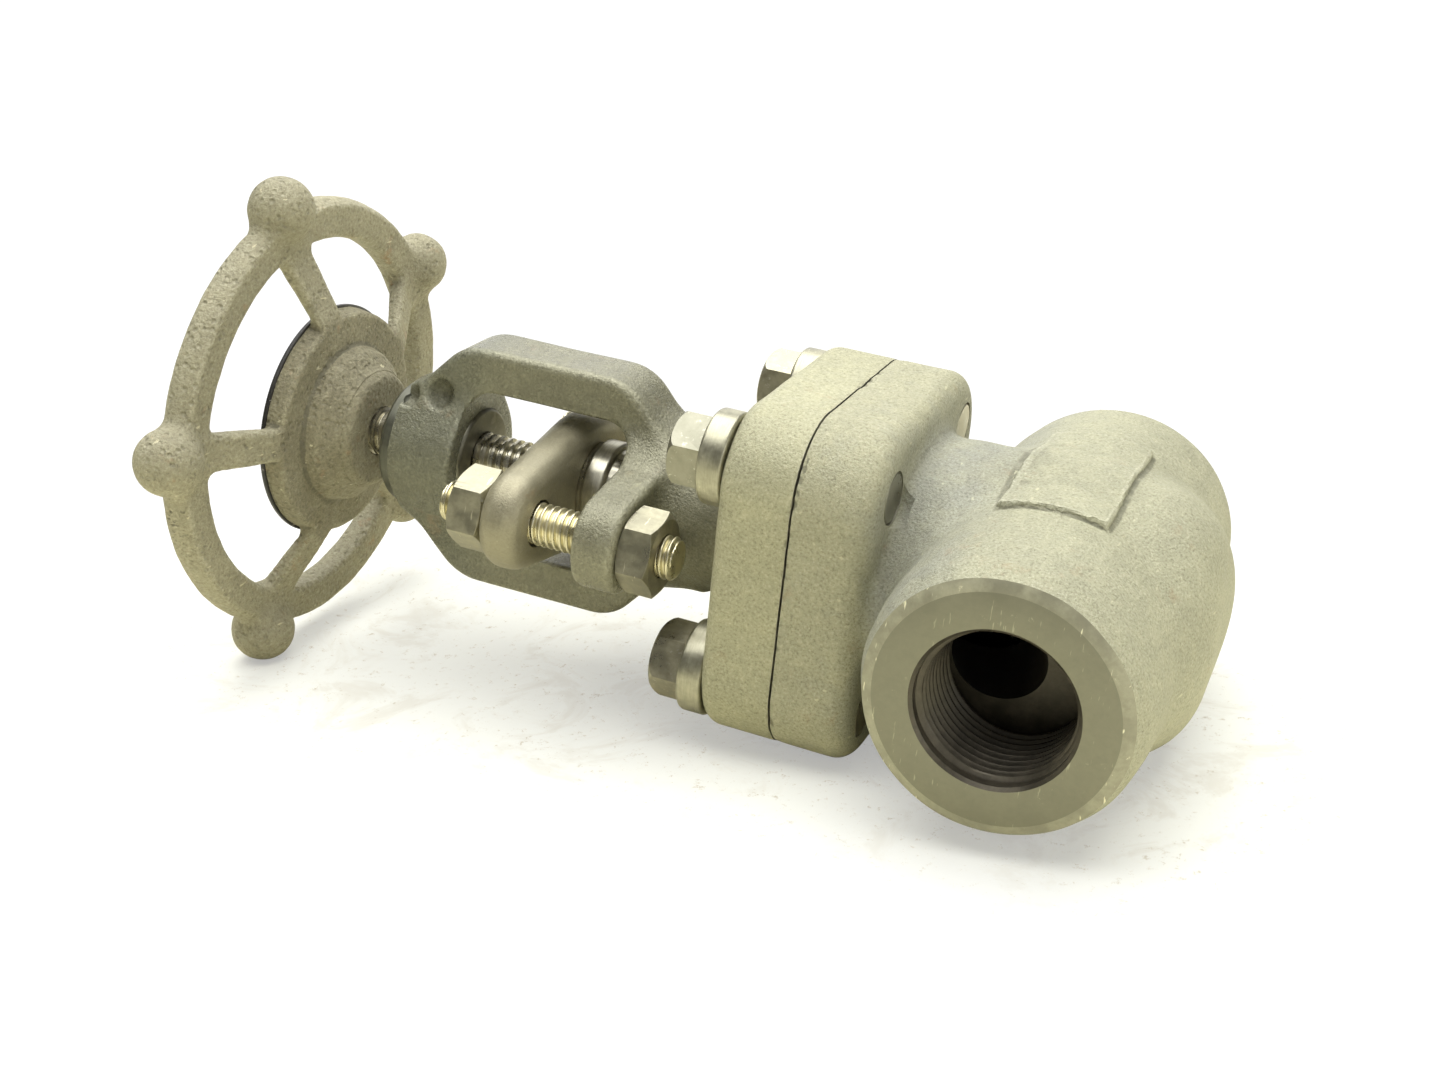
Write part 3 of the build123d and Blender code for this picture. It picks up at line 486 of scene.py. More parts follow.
class Nodes:
    """Shorthand for building a node material. Lengths in the textures are in mm, in the frame of the CAD."""

    def __init__(self, name):
        self.material = bpy.data.materials.new(name)
        self.material.use_nodes = True
        self.tree = self.material.node_tree
        self.shader = self.tree.nodes["Principled BSDF"]
        coordinates = self.tree.nodes.new("ShaderNodeTexCoord")
        scale = self.tree.nodes.new("ShaderNodeMapping")
        scale.inputs["Scale"].default_value = (1 / MM,) * 3
        self.tree.links.new(coordinates.outputs["Object"], scale.inputs["Vector"])
        self.mm = scale.outputs["Vector"]

    def put(self, socket, value):
        if isinstance(value, bpy.types.NodeSocket):
            self.tree.links.new(value, socket)
        elif socket.type == "RGBA" and not isinstance(value, float):
            socket.default_value = (*value[:3], 1)
        else:
            socket.default_value = value

    def noise(self, size, detail=3.0, rough=0.55, vector=None, warp=0.0):
        """Noise whose blobs are about size mm across."""
        n = self.tree.nodes.new("ShaderNodeTexNoise")
        self.put(n.inputs["Vector"], vector or self.mm)
        n.inputs["Scale"].default_value = 1 / size
        n.inputs["Detail"].default_value = detail
        n.inputs["Roughness"].default_value = rough
        n.inputs["Distortion"].default_value = warp
        return n.outputs["Fac"]

    def cells(self, size):
        """Distance to the middles of random cells about size mm across."""
        n = self.tree.nodes.new("ShaderNodeTexVoronoi")
        self.put(n.inputs["Vector"], self.mm)
        n.inputs["Scale"].default_value = 1 / size
        return n.outputs["Distance"]

    def stretch(self, scale, shift=(0, 0, 0)):
        """Coordinates that are scaled and shifted, to stretch a pattern or to pick another part of it."""
        n = self.tree.nodes.new("ShaderNodeMapping")
        self.put(n.inputs["Vector"], self.mm)
        n.inputs["Scale"].default_value = scale
        n.inputs["Location"].default_value = shift
        return n.outputs["Vector"]

    def ramp(self, value, low, high, out_low=0.0, out_high=1.0):
        n = self.tree.nodes.new("ShaderNodeMapRange")
        n.interpolation_type = "SMOOTHSTEP"
        self.put(n.inputs["Value"], value)
        n.inputs["From Min"].default_value = low
        n.inputs["From Max"].default_value = high
        n.inputs["To Min"].default_value = out_low
        n.inputs["To Max"].default_value = out_high
        return n.outputs["Result"]

    def math(self, operation, a, b=0.0):
        n = self.tree.nodes.new("ShaderNodeMath")
        n.operation = operation
        self.put(n.inputs[0], a)
        self.put(n.inputs[1], b)
        return n.outputs["Value"]

    def mix(self, amount, a, b, blend="MIX"):
        n = self.tree.nodes.new("ShaderNodeMix")
        n.data_type = "RGBA"
        n.blend_type = blend
        self.put(n.inputs["Factor"], amount)
        self.put(n.inputs[6], a)
        self.put(n.inputs[7], b)
        return n.outputs[2]

    def attribute(self, name):
        n = self.tree.nodes.new("ShaderNodeAttribute")
        n.attribute_name = name
        return n.outputs["Fac"]

    def part(self, axis):
        """The x, y or z coordinate in mm."""
        n = self.tree.nodes.new("ShaderNodeSeparateXYZ")
        self.put(n.inputs[0], self.mm)
        return n.outputs["XYZ".index(axis)]

    def hypot(self, a, b):
        return self.math("SQRT", self.math("ADD", self.math("POWER", a, 2.0), self.math("POWER", b, 2.0)))

    def away(self, x, y):
        """Distance from an upright axis, in mm."""
        return self.hypot(self.math("SUBTRACT", self.part("X"), x), self.math("SUBTRACT", self.part("Y"), y))

    def bump(self, height, depth, strength=1.0):
        """Bumps of up to depth mm."""
        n = self.tree.nodes.new("ShaderNodeBump")
        n.inputs["Distance"].default_value = depth * MM
        n.inputs["Strength"].default_value = strength
        self.put(n.inputs["Height"], height)
        return n.outputs["Normal"]

    def finish(self, colour, rough, metallic, normal=None, specular=0.5):
        self.put(self.shader.inputs["Base Color"], colour)
        self.put(self.shader.inputs["Roughness"], rough)
        self.put(self.shader.inputs["Metallic"], metallic)
        self.shader.inputs["Specular IOR Level"].default_value = specular
        if normal is not None:
            self.put(self.shader.inputs["Normal"], normal)
        return self.material


def tint(colour, amount):
    """A lighter or darker colour."""
    return tuple(min(1.0, c * amount) for c in colour)


def skin_material(name, base, grain, depth, zones=(), metallic=0.2, roughness=0.6, pits=0.0, rust=0.25,
                  gloss=0.0, even=0.5, scuffs=0.4, sand=1.0):
    """Blasted forged or cast steel: sandy grain, mottling, painted shade in corners, rubbed edges that are
    partly wear and partly a painted highlight.
    grain is the size of the sand's marks and depth their height, in mm; sand is how much they colour the skin.
    zones are (axis, from, to, colour, how much) for skins that change along the part; axis R is out from the
    stem, and even is how strong a zone is in its weakest patches. pits is the depth of a casting's hollows.
    rust and scuffs are the strength of the brown stains and the pale rubs. gloss is how much smoother the skin
    gets from one end of gloss_z to the other."""
    gloss_z = (58.0, 80.0)
    m = Nodes(name)
    convex = m.attribute("convex")
    slow = m.noise(24, 3, 0.6)
    middle = m.noise(3.2, 5, 0.65)
    fine = m.noise(grain, 3, 0.7)
    colour = m.mix(m.ramp(slow, 0.35, 0.66), tint(base, 0.93), tint(base, 1.03))
    for axis, start, end, zone_colour, amount in zones:
        patch = m.ramp(m.noise(7.5, 5, 0.65, m.stretch((1, 1, 1), (start, 7, 3))), 0.34, 0.62, even, 1.0)
        along = m.away(0.0, 0.0) if axis == "R" else m.part(axis)
        where = m.math("MULTIPLY", m.ramp(along, start, end), m.math("MULTIPLY", patch, amount))
        colour = m.mix(where, colour, zone_colour)
    colour = m.mix(m.ramp(middle, 0.38, 0.66, 0.22, 0.0), colour, (0.5, 0.5, 0.5), "MULTIPLY")
    colour = m.mix(m.ramp(fine, 0.30, 0.50, 0.55 * sand, 0.0), colour, (0.42, 0.41, 0.38), "MULTIPLY")
    colour = m.mix(m.ramp(fine, 0.52, 0.70, 0.0, 0.45 * sand), colour, colour, "SCREEN")
    # painted shade: the skin is darkened in hollows and corners, where the convex attribute is negative
    painted_corner_shade = m.math("MULTIPLY", m.ramp(convex, -0.25, -0.9), m.ramp(middle, 0.30, 0.60, 0.3, 0.8))
    colour = m.mix(painted_corner_shade, colour, tint(base, 0.35))
    # convex edges are lightened in patches: partly rubbed wear, partly a painted highlight
    worn_edge_highlight = m.math("MULTIPLY", m.ramp(convex, 0.22, 0.75), m.ramp(m.noise(0.9, 4, 0.75), 0.38, 0.66, 0.0, 0.5))
    colour = m.mix(worn_edge_highlight, colour, colour, "SCREEN")
    stain = m.ramp(m.noise(8, 5, 0.7, m.stretch((1, 1, 1), (3, 50, 9))), 0.60, 0.74, 0.0, rust)
    colour = m.mix(stain, colour, (0.40, 0.25, 0.13))
    scuff = m.ramp(m.noise(1.3, 2, 0.5, m.stretch((0.3, 1.2, 0.9), (9, 2, 31))), 0.70, 0.76, 0.0, scuffs)
    colour = m.mix(scuff, colour, tint(base, 1.7))
    height = m.math("ADD", fine, m.math("MULTIPLY", middle, 0.7))
    if pits:
        dents = m.ramp(m.cells(1.7), 0.05, 0.40)
        height = m.math("ADD", height, m.math("MULTIPLY", dents, pits))
    rough = m.ramp(middle, 0.3, 0.7, roughness - 0.07, roughness + 0.1)
    if gloss:
        rough = m.math("SUBTRACT", rough, m.ramp(m.part("Z"), *gloss_z, 0.0, gloss))
    return m.finish(colour, rough, metallic, m.bump(height, depth), 0.4)


def turned_material(name, base, rough=0.34, metallic=0.85, axis="Z", marks=0.35, nicks=0.35, spread=0.62):
    """Machined steel: fine tool lines, oily film, scratches and small bright nicks.
    axis is the one it was turned about, N for none. marks and nicks are the strength of the tool lines and
    of the scratches, and spread is the share of the colour that is left where the film is darkest."""
    m = Nodes(name)
    stretch = {"X": (4, 0.35, 0.35), "Z": (0.35, 0.35, 4), "N": (1, 1, 1)}[axis]
    lines = m.noise(1.0, 3, 0.6, m.stretch(stretch))
    film = m.noise(5, 5, 0.65)
    colour = m.mix(m.ramp(film, 0.35, 0.68), tint(base, spread), base)
    colour = m.mix(m.ramp(lines, 0.35, 0.75, 0.0, marks), colour, tint(base, spread * 0.6))
    scratch = m.ramp(m.noise(1.2, 2, 0.5, m.stretch((0.3, 0.30, 2.0), (5, 0, 9))), 0.68, 0.73, 0.0, nicks)
    worn = m.ramp(m.noise(6, 3, 0.6, m.stretch((1, 1, 1), (2, 33, 9))), 0.50, 0.62)
    nick = m.ramp(m.noise(1.5, 5, 0.8, m.stretch((1, 1, 1), (25, 3, 9))), 0.60, 0.68, 0.0, nicks)
    speck = m.math("MULTIPLY", nick, worn)
    colour = m.mix(m.math("MAXIMUM", scratch, speck), colour, tint(base, 1.9))
    r = m.ramp(film, 0.3, 0.7, rough - 0.06, rough + 0.14)
    height = m.math("ADD", m.math("MULTIPLY", lines, 0.5), m.math("MULTIPLY", film, 0.4))
    return m.finish(colour, r, metallic, m.bump(height, 0.03, 0.8))


def bolt_material():
    """The four bonnet bolts: oily steel, and darker on the one at BOLT_PLACES[0]."""
    m = Nodes("bolt_steel")
    film = m.noise(4, 5, 0.65)
    at_dark_bolt = m.ramp(m.away(*BOLT_PLACES[0]), 13.0, 12.0)
    usual = m.mix(m.ramp(film, 0.35, 0.68), (0.30, 0.28, 0.20), (0.46, 0.43, 0.31))
    dark = m.mix(m.ramp(film, 0.35, 0.68), (0.22, 0.215, 0.16), (0.31, 0.30, 0.23))
    colour = m.mix(at_dark_bolt, usual, dark)
    worn = m.ramp(m.noise(1.2, 3, 0.7), 0.60, 0.72, 0.0, 0.5)
    colour = m.mix(worn, colour, (0.70, 0.68, 0.56))
    return m.finish(colour, m.ramp(film, 0.3, 0.7, 0.26, 0.44), 0.85, m.bump(film, 0.04, 0.8))


forged = skin_material("forged_steel", (0.475, 0.465, 0.318), 0.50, 0.36, even=0.6,
                       zones=(("Z", 5, 18, (0.33, 0.335, 0.285), 0.75),
                              ("Z", 25, 30, (0.475, 0.46, 0.308), 1.3)))
forged_bonnet = skin_material("forged_steel_bonnet", (0.49, 0.475, 0.312), 0.50, 0.24, metallic=0.3,
                              gloss=0.36, even=0.9, scuffs=0.15,
                              zones=(("Z", 54, 64, (0.240, 0.232, 0.156), 0.97),
                                     ("Z", 108, 120, (0.205, 0.205, 0.145), 0.97)))
cast = skin_material("cast_wheel", (0.435, 0.405, 0.272), 0.65, 0.5, metallic=0.15, roughness=0.66, pits=0.8,
                     rust=0.6, scuffs=0.7,
                     zones=(("R", 26, 22, (0.245, 0.222, 0.14), 0.8),
                            ("Z", 158.0, 154.8, (0.30, 0.275, 0.175), 0.35)))
gland_skin = skin_material("gland_forging", (0.335, 0.308, 0.206), 0.5, 0.09, metallic=0.45, roughness=0.42,
                           sand=0.35)
port_face = turned_material("port_face", (0.265, 0.257, 0.174), 0.44, 0.3, "N", 0.12, 0.55, 0.88)
port_edge = turned_material("port_edge", (0.44, 0.425, 0.30), 0.46, 0.3, "N", 0.2, 1.0, 0.70)
port_thread = turned_material("port_thread", (0.12, 0.105, 0.074), 0.36, 0.5, "N", 0.3, 0.1)
# painted shade: the inside of the body is made near-black where the lamps still reach into the chamber and
# passages
passage = turned_material("flow_passage_painted_shade", (0.06, 0.052, 0.038), 0.6, 0.2, "N", 0.3, 0.1)
machined = turned_material("machined_face", (0.55, 0.53, 0.42), 0.38, 0.7, "N", 0.3, 0.4)
hub_face = turned_material("hub_end", (0.14, 0.142, 0.105), 0.36, 0.6, "Z", 0.4, 0.5)
stem_steel = turned_material("stem_steel", (0.62, 0.585, 0.46), 0.24, 0.95, "Z", 0.35, 0.2)
stud_steel = turned_material("stud_steel", (0.82, 0.76, 0.52), 0.27, 0.95, "Z", 0.2, 0.2, 0.75)
nut_steel = turned_material("nut_steel", (0.45, 0.425, 0.30), 0.33, 0.8, "N", 0.25, 0.6, 0.66)
bolt_steel = bolt_material()
collar_steel = turned_material("collar_steel", (0.50, 0.48, 0.35), 0.34, 0.8, "Z", 0.3, 0.3)
follower_steel = turned_material("follower_steel", (0.66, 0.63, 0.50), 0.30, 0.95, "Z", 0.4, 0.2)
bushing_steel = turned_material("bushing_steel", (0.25, 0.24, 0.18), 0.36, 0.7, "N", 0.3, 0.3)
trim_steel = turned_material("trim_steel", (0.66, 0.65, 0.60), 0.22, 0.95, "Z", 0.25, 0.15)
washer_steel = turned_material("washer_steel", (0.62, 0.60, 0.50), 0.30, 0.9, "N", 0.25, 0.3)
gasket_steel = turned_material("gasket_steel", (0.30, 0.29, 0.27), 0.45, 0.6, "N", 0.4, 0.1, 0.3)


def plate_material():
    """Thin painted plate, blank, with scuffs down to bare metal."""
    m = Nodes("blank_plate")
    film = m.noise(6, 4, 0.6)
    colour = m.mix(m.ramp(film, 0.35, 0.7), (0.020, 0.019, 0.018), (0.035, 0.033, 0.030))
    scuff = m.ramp(m.noise(1.4, 3, 0.6, m.stretch((0.2, 1.3, 1))), 0.64, 0.72, 0.0, 0.8)
    colour = m.mix(scuff, colour, (0.42, 0.41, 0.38))
    return m.finish(colour, m.ramp(film, 0.3, 0.7, 0.32, 0.5), m.math("MULTIPLY", scuff, 0.9),
                    m.bump(film, 0.03, 0.6))


def graphite_material():
    """Plaited graphite packing."""
    m = Nodes("graphite")
    weave = m.cells(0.8)
    colour = m.mix(m.ramp(weave, 0.1, 0.6), (0.012, 0.012, 0.013), (0.05, 0.05, 0.052))
    return m.finish(colour, m.ramp(weave, 0.0, 0.6, 0.35, 0.6), 0.3, m.bump(weave, 0.08))


plate_paint = plate_material()
graphite = graphite_material()

# ---------------------------------------------------------------- body forging

SKIN, PORT_FACE, PORT_EDGE, PORT_THREAD, PASSAGE, MACHINED = range(6)
ON_FACE = 0.02
PASSAGE_SLOPE = math.radians(23)
CHAMBER_R, SEAT_R, GASKET_R = 12.5, 8.63, 16.45
WALL_X = 27.4

body = new_piece("body_forging", *surface(body_field, (-51, -33, -30), (51, 33, 46), step=0.62))
chamber = [(0, -18), (SEAT_R, -18), (SEAT_R, 4), (CHAMBER_R, 4), (CHAMBER_R, 37.5), (GASKET_R, 37.5),
           (GASKET_R, FLANGE_FACE_Z), (70, FLANGE_FACE_Z), (70, 60), (0, 60)]
cutters = [lathe("cut_chamber", chamber)]
for side in (-1, 1):
    # (radius, depth behind the port's face): the bore, its chamfer, the face and its worn outer edge
    port = [(0, -20), (0, 19.0), (PORT_R, 19.0), (PORT_R, 0.6), (PORT_CHAMFER_R, 0.0), (20.0, 0.0), (21.6, 0.8),
            (23.4, 1.7), (60, 1.7), (60, -20)]
    port = [(r, side * (PORT_FACE_X - h)) for r, h in port]
    cutters.append(lathe(f"cut_port_{side + 1}", port if side > 0 else port[::-1], "x"))
    start = Vector((side * (PORT_FACE_X - 20.5), 0, -side * 4.7))
    along = Vector((-side * math.cos(PASSAGE_SLOPE), 0, -side * math.sin(PASSAGE_SLOPE)))
    cutters.append(rod(f"cut_passage_{side + 1}", start - along * 5.5, start + along * 23, r=7.5, steps=96))
for n, (x, y) in enumerate(BOLT_PLACES):
    cutters.append(rod(f"cut_hole_{n}", (x, y, 25.6), (x, y, 44), r=4.73))
    cutters.append(rod(f"cut_spot_{n}", (x, y, 25.0), (x, y, 27.3), r=5.25))
cut(body, cutters)
store(body, "convex", bulge(body_field, points_of(body)))
centre, normal = faces_of(body)
off_x = np.hypot(centre[:, 1], centre[:, 2])
out_x = np.abs(centre[:, 0])
under_skin = body_field(*centre.T)
outer = PORT_FACE_X - ON_FACE
slots = np.full(len(centre), SKIN)
slots[(out_x > outer) & (off_x > 13)] = PORT_FACE
slots[(out_x > PORT_FACE_X - 1.75) & (out_x < outer) & (off_x > 19.9) & (off_x < 24)
      & (np.abs(normal[:, 0]) > 0.40)] = PORT_EDGE
slots[(off_x < 13.95) & (out_x > 27.3) & (out_x < outer)] = PORT_THREAD
# the chamber and passage walls deep in the metal get the near-black finish, painted shade
slots[(under_skin < -1.5) & (out_x < WALL_X)] = PASSAGE
slots[np.abs(centre[:, 2] - FLANGE_FACE_Z) < ON_FACE] = MACHINED
for x, y in BOLT_PLACES:
    from_bolt = np.hypot(centre[:, 0] - x, centre[:, 1] - y)
    slots[(from_bolt > 4.9) & (from_bolt < 5.5)] = SKIN
    slots[(from_bolt < 4.9) & (under_skin < -0.3)] = MACHINED
set_slots(body, [forged, port_face, port_edge, port_thread, passage, machined], slots)
linings = []
for side in (-1, 1):
    lining = thread(f"lining_{side + 1}", PORT_R + 0.02, 0.95, PORT_PITCH, 0.0, 16.6, inner=True, taper=1 / 40,
                    wall=PORT_R + 0.15, steps=96)
    turn = Matrix.Rotation(math.radians(-90 * side), 4, "Y")
    lining.data.transform(Matrix.Translation((side * (PORT_FACE_X - 2.1) * MM, 0, 0)) @ turn)
    set_slots(lining, [forged, port_face, port_edge, port_thread],
              np.full(len(lining.data.polygons), PORT_THREAD))
    store(lining, "convex", np.zeros(len(lining.data.vertices)))
    linings.append(lining)
body = join("body_forging", [body] + linings)
smooth(body)
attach(body, "valve_body")
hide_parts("body")

# ---------------------------------------------------------------- bonnet forging

bonnet = new_piece("bonnet_forging", *surface(bonnet_field, (-34, -33, 28), (34, 33, 139), step=0.62))
HUB_STEP_Z = 131.4
underside = [(0, 20), (70, 20), (70, BONNET_FACE_Z), (16.3, BONNET_FACE_Z), (16.3, 40.7), (12.3, 40.7),
             (12.3, 33), (0, 33)]
top = [(0, HUB_TOP_Z), (11.5, HUB_TOP_Z), (12.35, HUB_TOP_Z - 0.9), (12.35, HUB_STEP_Z), (30, HUB_STEP_Z),
       (30, 150), (0, 150)]
inside = [(0, 20), (9.03, 20), (9.03, 44), (5.2, 44), (5.2, 54), (8.2, 54), (8.2, 81.8), (8.7, 82.3), (0, 82.3)]
bushing_hole = [(0, 117.6), (9.73, 117.6), (9.73, 121.1), (8.23, 121.1), (8.23, 140), (0, 140)]
cutters = [lathe("cut_under", underside), lathe("cut_top", top), lathe("cut_inside", inside),
           lathe("cut_bushing", bushing_hole)]
cutters += [rod(f"cut_bolt_{n}", (x, y, 40), (x, y, 57), BOLT_HOLE_R) for n, (x, y) in enumerate(BOLT_PLACES)]
cutters += [rod(f"cut_stud_{n}", (x, 0, 70), (x, 0, 85), STUD_R + 0.03)
            for n, x in enumerate((-STUD_X, STUD_X))]
cut(bonnet, cutters)
store(bonnet, "convex", bulge(bonnet_field, points_of(bonnet)))
centre, _ = faces_of(bonnet)
near_axis = np.hypot(centre[:, 0], centre[:, 1])
BARE, HUB_END = 1, 2
slots = np.full(len(centre), SKIN)
slots[bonnet_field(*centre.T) < -0.35] = BARE
slots[centre[:, 2] > HUB_STEP_Z - 0.05] = HUB_END
slots[(near_axis < 8.8) & (centre[:, 2] < 83)] = BARE
slots[np.abs(centre[:, 2] - BONNET_FACE_Z) < ON_FACE] = BARE
set_slots(bonnet, [forged_bonnet, machined, hub_face], slots)
smooth(bonnet)
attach(bonnet, "valve_body")
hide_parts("bonnet")

# ---------------------------------------------------------------- handwheel casting

wheel = new_piece("handwheel_casting", *surface(wheel_field, (-54, -54, 135.5), (54, 54, 166), step=0.66))
cut(wheel, [lathe("cut_boss", [(0, 130), (40, 130), (40, BOSS_BOTTOM_Z + 1.6), (11.95, BOSS_BOTTOM_Z + 1.6),
                               (11.5, BOSS_BOTTOM_Z + 0.7), (10.7, BOSS_BOTTOM_Z + 0.1), (10.0, BOSS_BOTTOM_Z),
                               (0, BOSS_BOTTOM_Z)]),
            lathe("cut_disc", [(0, DISC_TOP_Z), (23.9, DISC_TOP_Z), (23.9, 170), (0, 170)]),
            lathe("cut_bore", [(0, 135), (5.05, 135), (5.05, 158), (0, 158)])])
store(wheel, "convex", bulge(wheel_field, points_of(wheel)))
set_slots(wheel, [cast])
smooth(wheel, 40)
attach(wheel, "spindle")
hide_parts("handwheel")

# ---------------------------------------------------------------- gland flange

gland = new_piece("gland_forging", *surface(gland_field, (-34, -16, 90), (34, 16, 104), step=0.5))
holes = [rod(f"cut_gland_{n}", (x, 0, 85), (x, 0, 110), r) for n, (x, r) in
         enumerate(((-STUD_X, 4.5), (0, 5.75), (STUD_X, 4.5)))]
cut(gland, holes)
store(gland, "convex", bulge(gland_field, points_of(gland)))
centre, _ = faces_of(gland)
set_slots(gland, [gland_skin, machined], (gland_field(*centre.T) < -0.3).astype(int))
smooth(gland)
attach(gland, "gland")
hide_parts("gland_flange")

# ---------------------------------------------------------------- stem and studs with real threads

shank = lathe("stem_shank", [(0, STEM_BOTTOM_Z), (5.2, STEM_BOTTOM_Z), (6.2, STEM_BOTTOM_Z + 0.8), (6.2, 15.0),
                             (STEM_R, 15.0), (STEM_R, 100.0), (4.15, 100.8), (4.15, 103.6), (0, 103.6)],
              steps=96)
screw = thread("stem_thread", STEM_R, 0.72, STEM_PITCH, 103.0, BOSS_BOTTOM_Z + 1.9, chamfer=0.5, flat=0.34,
               steps=72)
square = lathe("stem_square", [(0, BOSS_BOTTOM_Z + 1.6), (4.9, BOSS_BOTTOM_Z + 1.6), (4.9, DISC_TOP_Z - 0.6),
                               (0, DISC_TOP_Z - 0.6)], steps=96)
tail = thread("stem_tail", STUD_R, 0.62, TAIL_PITCH, DISC_TOP_Z - 0.8, STEM_TOP_Z, chamfer=0.8, steps=64)
stem = join("stem_screw", [shank, screw, square, tail])
set_slots(stem, [stem_steel])
smooth(stem, 38)
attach(stem, "spindle")
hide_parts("stem")

for side in ("left", "right"):
    node = f"gland_stud_{side}"
    x = sum(span(node, "x")) / 2
    stud = thread(f"stud_screw_{side}", STUD_R, 0.66, STUD_PITCH, *span(node, "z"), place=(x, 0), chamfer=0.6,
                  flat=0.22)
    set_slots(stud, [stud_steel])
    smooth(stud, 42)
    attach(stud, "valve_body")
    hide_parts(node)

# ---------------------------------------------------------------- plaited packing, squeezed by the gland

PACKING_BORE = 5.0
RINGS = 5


def packing(n):
    """A square graphite ring whose skin runs round it like a plait."""
    node = f"packing_ring_{n}"
    (low, high), outer = span(node, "z"), span(node, "x")[1]
    corners = [(PACKING_BORE, low), (outer, low), (outer, high), (PACKING_BORE, high)]
    ring = lathe(f"graphite_ring_{n}", filleted(corners, [0.5] * 4), steps=336)
    points = points_of(ring)
    angle, out = np.arctan2(points[:, 1], points[:, 0]), np.hypot(points[:, 0], points[:, 1])
    middle_r, middle_z = (PACKING_BORE + outer) / 2, (low + high) / 2
    over, up_from = out - middle_r, points[:, 2] - middle_z
    strands, twists, depth = 28, 3, 0.05
    shrink = 1 - depth * (1 + np.sin(strands * angle + twists * np.arctan2(up_from, over)))
    out = middle_r + over * shrink
    points = np.stack([out * np.cos(angle), out * np.sin(angle), middle_z + up_from * shrink], 1)
    ring.data.vertices.foreach_set("co", (points * MM).ravel())
    ring.data.update()
    set_slots(ring, [graphite])
    smooth(ring, 50)
    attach(ring, "valve_body")
    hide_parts(node)
    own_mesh(ring)


for n in range(1, RINGS + 1):
    packing(n)

# ---------------------------------------------------------------- CAD nodes that stay, with better finishes


def dress(node, material, bevel=0.18):
    """Give a CAD node its material, and soften its edges without touching its mesh."""
    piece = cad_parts[node]
    for entry in piece.material_slots:
        entry.material = material
    weld = piece.modifiers.new("weld", "WELD")
    weld.merge_threshold = 0.002 * MM
    edge = piece.modifiers.new("edge", "BEVEL")
    edge.width = bevel * MM
    edge.segments = 2
    edge.limit_method = "ANGLE"
    edge.angle_limit = math.radians(28)
    edge.harden_normals = True


for node in ("gland_nut_left", "gland_nut_right", "lug_nuts"):
    dress(node, nut_steel)
dress("bonnet_bolts", bolt_steel)
dress("bonnet_bolt_collars", collar_steel)
dress("gland_follower", follower_steel)
dress("yoke_bushing", bushing_steel)
dress("wheel_plate", plate_paint, 0.1)
dress("wheel_washer", washer_steel)
dress("wheel_nut", washer_steel)
for node in ("seat_ring", "needle_plug", "plug_nut", "backseat_bushing"):
    dress(node, trim_steel, 0.1)
dress("bonnet_gasket", gasket_steel, 0.1)

# ---------------------------------------------------------------- floor, light and camera

# the valve lies on its +Y side: the floor touches the flange's edge and the lowest lobe of the wheel
flange_points = points_of(body)
wheel_points = points_of(wheel)


def reach(points, tilt):
    """How far a set of points goes towards the floor, for a floor that leans by tilt."""
    return (points[:, 1] * math.cos(tilt) - points[:, 2] * math.sin(tilt)).max()


low_tilt, high_tilt = 0.0, 0.4
for _ in range(40):
    tilt = (low_tilt + high_tilt) / 2
    if reach(wheel_points, tilt) > reach(flange_points, tilt):
        low_tilt = tilt
    else:
        high_tilt = tilt
down = Vector((0, math.cos(tilt), -math.sin(tilt)))
floor_at = reach(flange_points, tilt)

floor_mesh = bpy.data.meshes.new("floor")
right = Vector((1, 0, 0))
back = down.cross(right)
middle = down * (floor_at * MM) + back * 0.06
size = 3.0
corners = [middle + right * (a * size) + back * (b * size) for a, b in ((-1, -1), (1, -1), (1, 1), (-1, 1))]
floor_mesh.from_pydata(corners, [], [(0, 1, 2, 3)])
floor = bpy.data.objects.new("floor", floor_mesh)
bpy.context.scene.collection.objects.link(floor)


WHITE = 1.1
STUDIO_LIGHT = 0.165


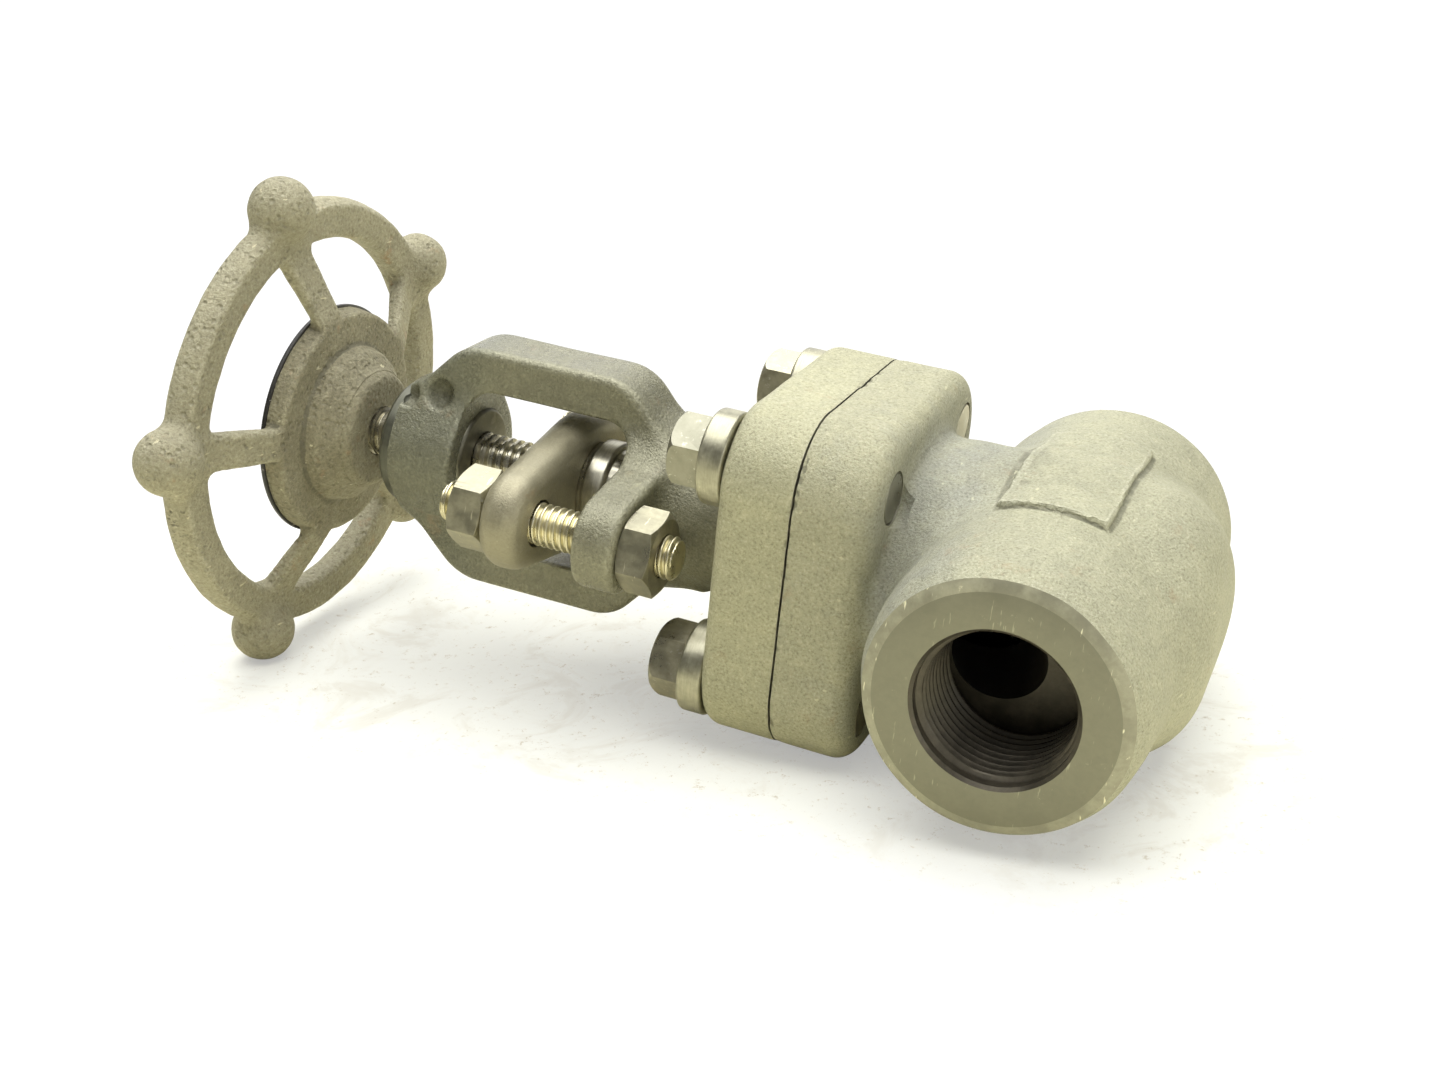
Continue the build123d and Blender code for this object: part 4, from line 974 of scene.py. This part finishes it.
def floor_material():
    """Pale card. Close to the valve it is lit by the lamps, a little dirty, and painted yellower, a painted
    tint that stands in for the warm colour of its shadows; there, for the camera, a share of even glow lightens
    those shadows, and further off it runs out into the white studio. It is clear to a camera that looks at it
    from below, and bounces a warm light back at the valve."""
    m = Nodes("floor_card")
    middle_z, half_length = 62.0, 75.0
    from_middle = m.math("ABSOLUTE", m.math("SUBTRACT", m.part("Z"), middle_z))
    along = m.math("MAXIMUM", m.math("SUBTRACT", from_middle, half_length), 0.0)
    off = m.hypot(m.part("X"), along)
    near = m.ramp(off, 75.0, 30.0)
    dust = m.ramp(m.noise(2.2, 6, 0.85), 0.57, 0.66, 0.0, 1.0)
    streak = m.ramp(m.noise(26, 5, 0.7, None, 1.5), 0.50, 0.66, 0.0, 0.35)
    dirt = m.math("MULTIPLY", m.math("MAXIMUM", dust, streak), near)
    # painted tint: near the valve the card is yellower, standing in for the warm colour of its shadows
    colour = m.mix(near, (0.94, 0.94, 0.90), (0.92, 0.92, 0.80))
    colour = m.mix(dirt, colour, (0.50, 0.42, 0.22))
    m.finish(colour, 0.9, 0.0, specular=0.1)
    tree = m.tree
    bounce = tree.nodes.new("ShaderNodeBsdfDiffuse")
    bounce.inputs["Color"].default_value = (0.88, 0.85, 0.66, 1)
    far = tree.nodes.new("ShaderNodeEmission")
    far.inputs["Strength"].default_value = WHITE
    clear = tree.nodes.new("ShaderNodeBsdfTransparent")
    path = tree.nodes.new("ShaderNodeLightPath")
    side = tree.nodes.new("ShaderNodeNewGeometry")

    def mixed(amount, a, b):
        mixer = tree.nodes.new("ShaderNodeMixShader")
        tree.links.new(amount, mixer.inputs[0])
        tree.links.new(a, mixer.inputs[1])
        tree.links.new(b, mixer.inputs[2])
        return mixer.outputs[0]

    # for the camera, even glow lightens the card's shadows near the valve, and further off it takes over
    seen = mixed(m.ramp(off, 45.0, 150.0, 0.36, 1.0), m.shader.outputs[0], far.outputs[0])
    seen = mixed(side.outputs["Backfacing"], seen, clear.outputs[0])
    whole = mixed(path.outputs["Is Camera Ray"], bounce.outputs[0], seen)
    tree.links.new(whole, tree.nodes["Material Output"].inputs["Surface"])
    return m.material


floor_mesh.materials.append(floor_material())
if floor_mesh.polygons[0].normal.dot(down) > 0:
    floor_mesh.flip_normals()

world = bpy.data.worlds.new("studio")
bpy.context.scene.world = world
world.use_nodes = True
sky = world.node_tree
dim = sky.nodes["Background"]
dim.inputs["Color"].default_value = (1.0, 1.0, 0.97, 1)
dim.inputs["Strength"].default_value = STUDIO_LIGHT
white = sky.nodes.new("ShaderNodeBackground")
white.inputs["Color"].default_value = (1.0, 1.0, 1.0, 1)
white.inputs["Strength"].default_value = WHITE
seen_by = sky.nodes.new("ShaderNodeLightPath")
choice = sky.nodes.new("ShaderNodeMixShader")
sky.links.new(seen_by.outputs["Is Camera Ray"], choice.inputs[0])
sky.links.new(dim.outputs[0], choice.inputs[1])
sky.links.new(white.outputs[0], choice.inputs[2])
sky.links.new(choice.outputs[0], sky.nodes["World Output"].inputs["Surface"])


def softbox(name, place, aim, width, height, power):
    """A soft rectangular light at place, pointed at aim. Lengths are in mm and power in watts."""
    lamp = bpy.data.lights.new(name, "AREA")
    lamp.shape = "RECTANGLE"
    lamp.size, lamp.size_y = width * MM, height * MM
    lamp.energy = power
    box = bpy.data.objects.new(name, lamp)
    box.location = Vector(place) * MM
    box.rotation_euler = (Vector(aim) - Vector(place)).to_track_quat("-Z", "Y").to_euler()
    bpy.context.scene.collection.objects.link(box)


camera_back = Vector((-0.856433, -0.402947, -0.322731))
camera_right = Vector((0.388586, -0.091580, -0.916850))
camera_place = Vector((-292.763, -132.572, -45.307))
up = -down
aim = Vector((0, 0, 60))
# level and away from the camera
away = (up * -camera_back.dot(down) - camera_back).normalized()
softbox("overhead", aim + up * 900 + away * 60, aim, 1200, 1200, 18.0)
softbox("backdrop", aim + up * 420 + away * 1000, aim, 2600, 1000, 9)
softbox("right_fill", aim + up * 260 + Vector((-150, 0, -900)), aim, 700, 600, 2.3)
softbox("front_fill", aim + up * 150 - away * 850 - Vector((0, 0, 350)), aim, 700, 500, 0.7)

camera_data = bpy.data.cameras.new("camera")
camera_data.sensor_width = 36.0
camera_data.lens = 44.82
camera_data.clip_start = 0.01
camera = bpy.data.objects.new("camera", camera_data)
bpy.context.scene.collection.objects.link(camera)
camera_up = camera_back.cross(camera_right)
turned = Matrix((camera_right, camera_up, camera_back)).transposed().to_4x4()
camera.matrix_world = Matrix.Translation(camera_place * MM) @ turned
bpy.context.scene.camera = camera
bpy.context.scene.view_settings.view_transform = "Standard"
bpy.context.scene.view_settings.look = "None"
bpy.context.scene.view_settings.exposure = 0.0

bpy.context.view_layer.update()
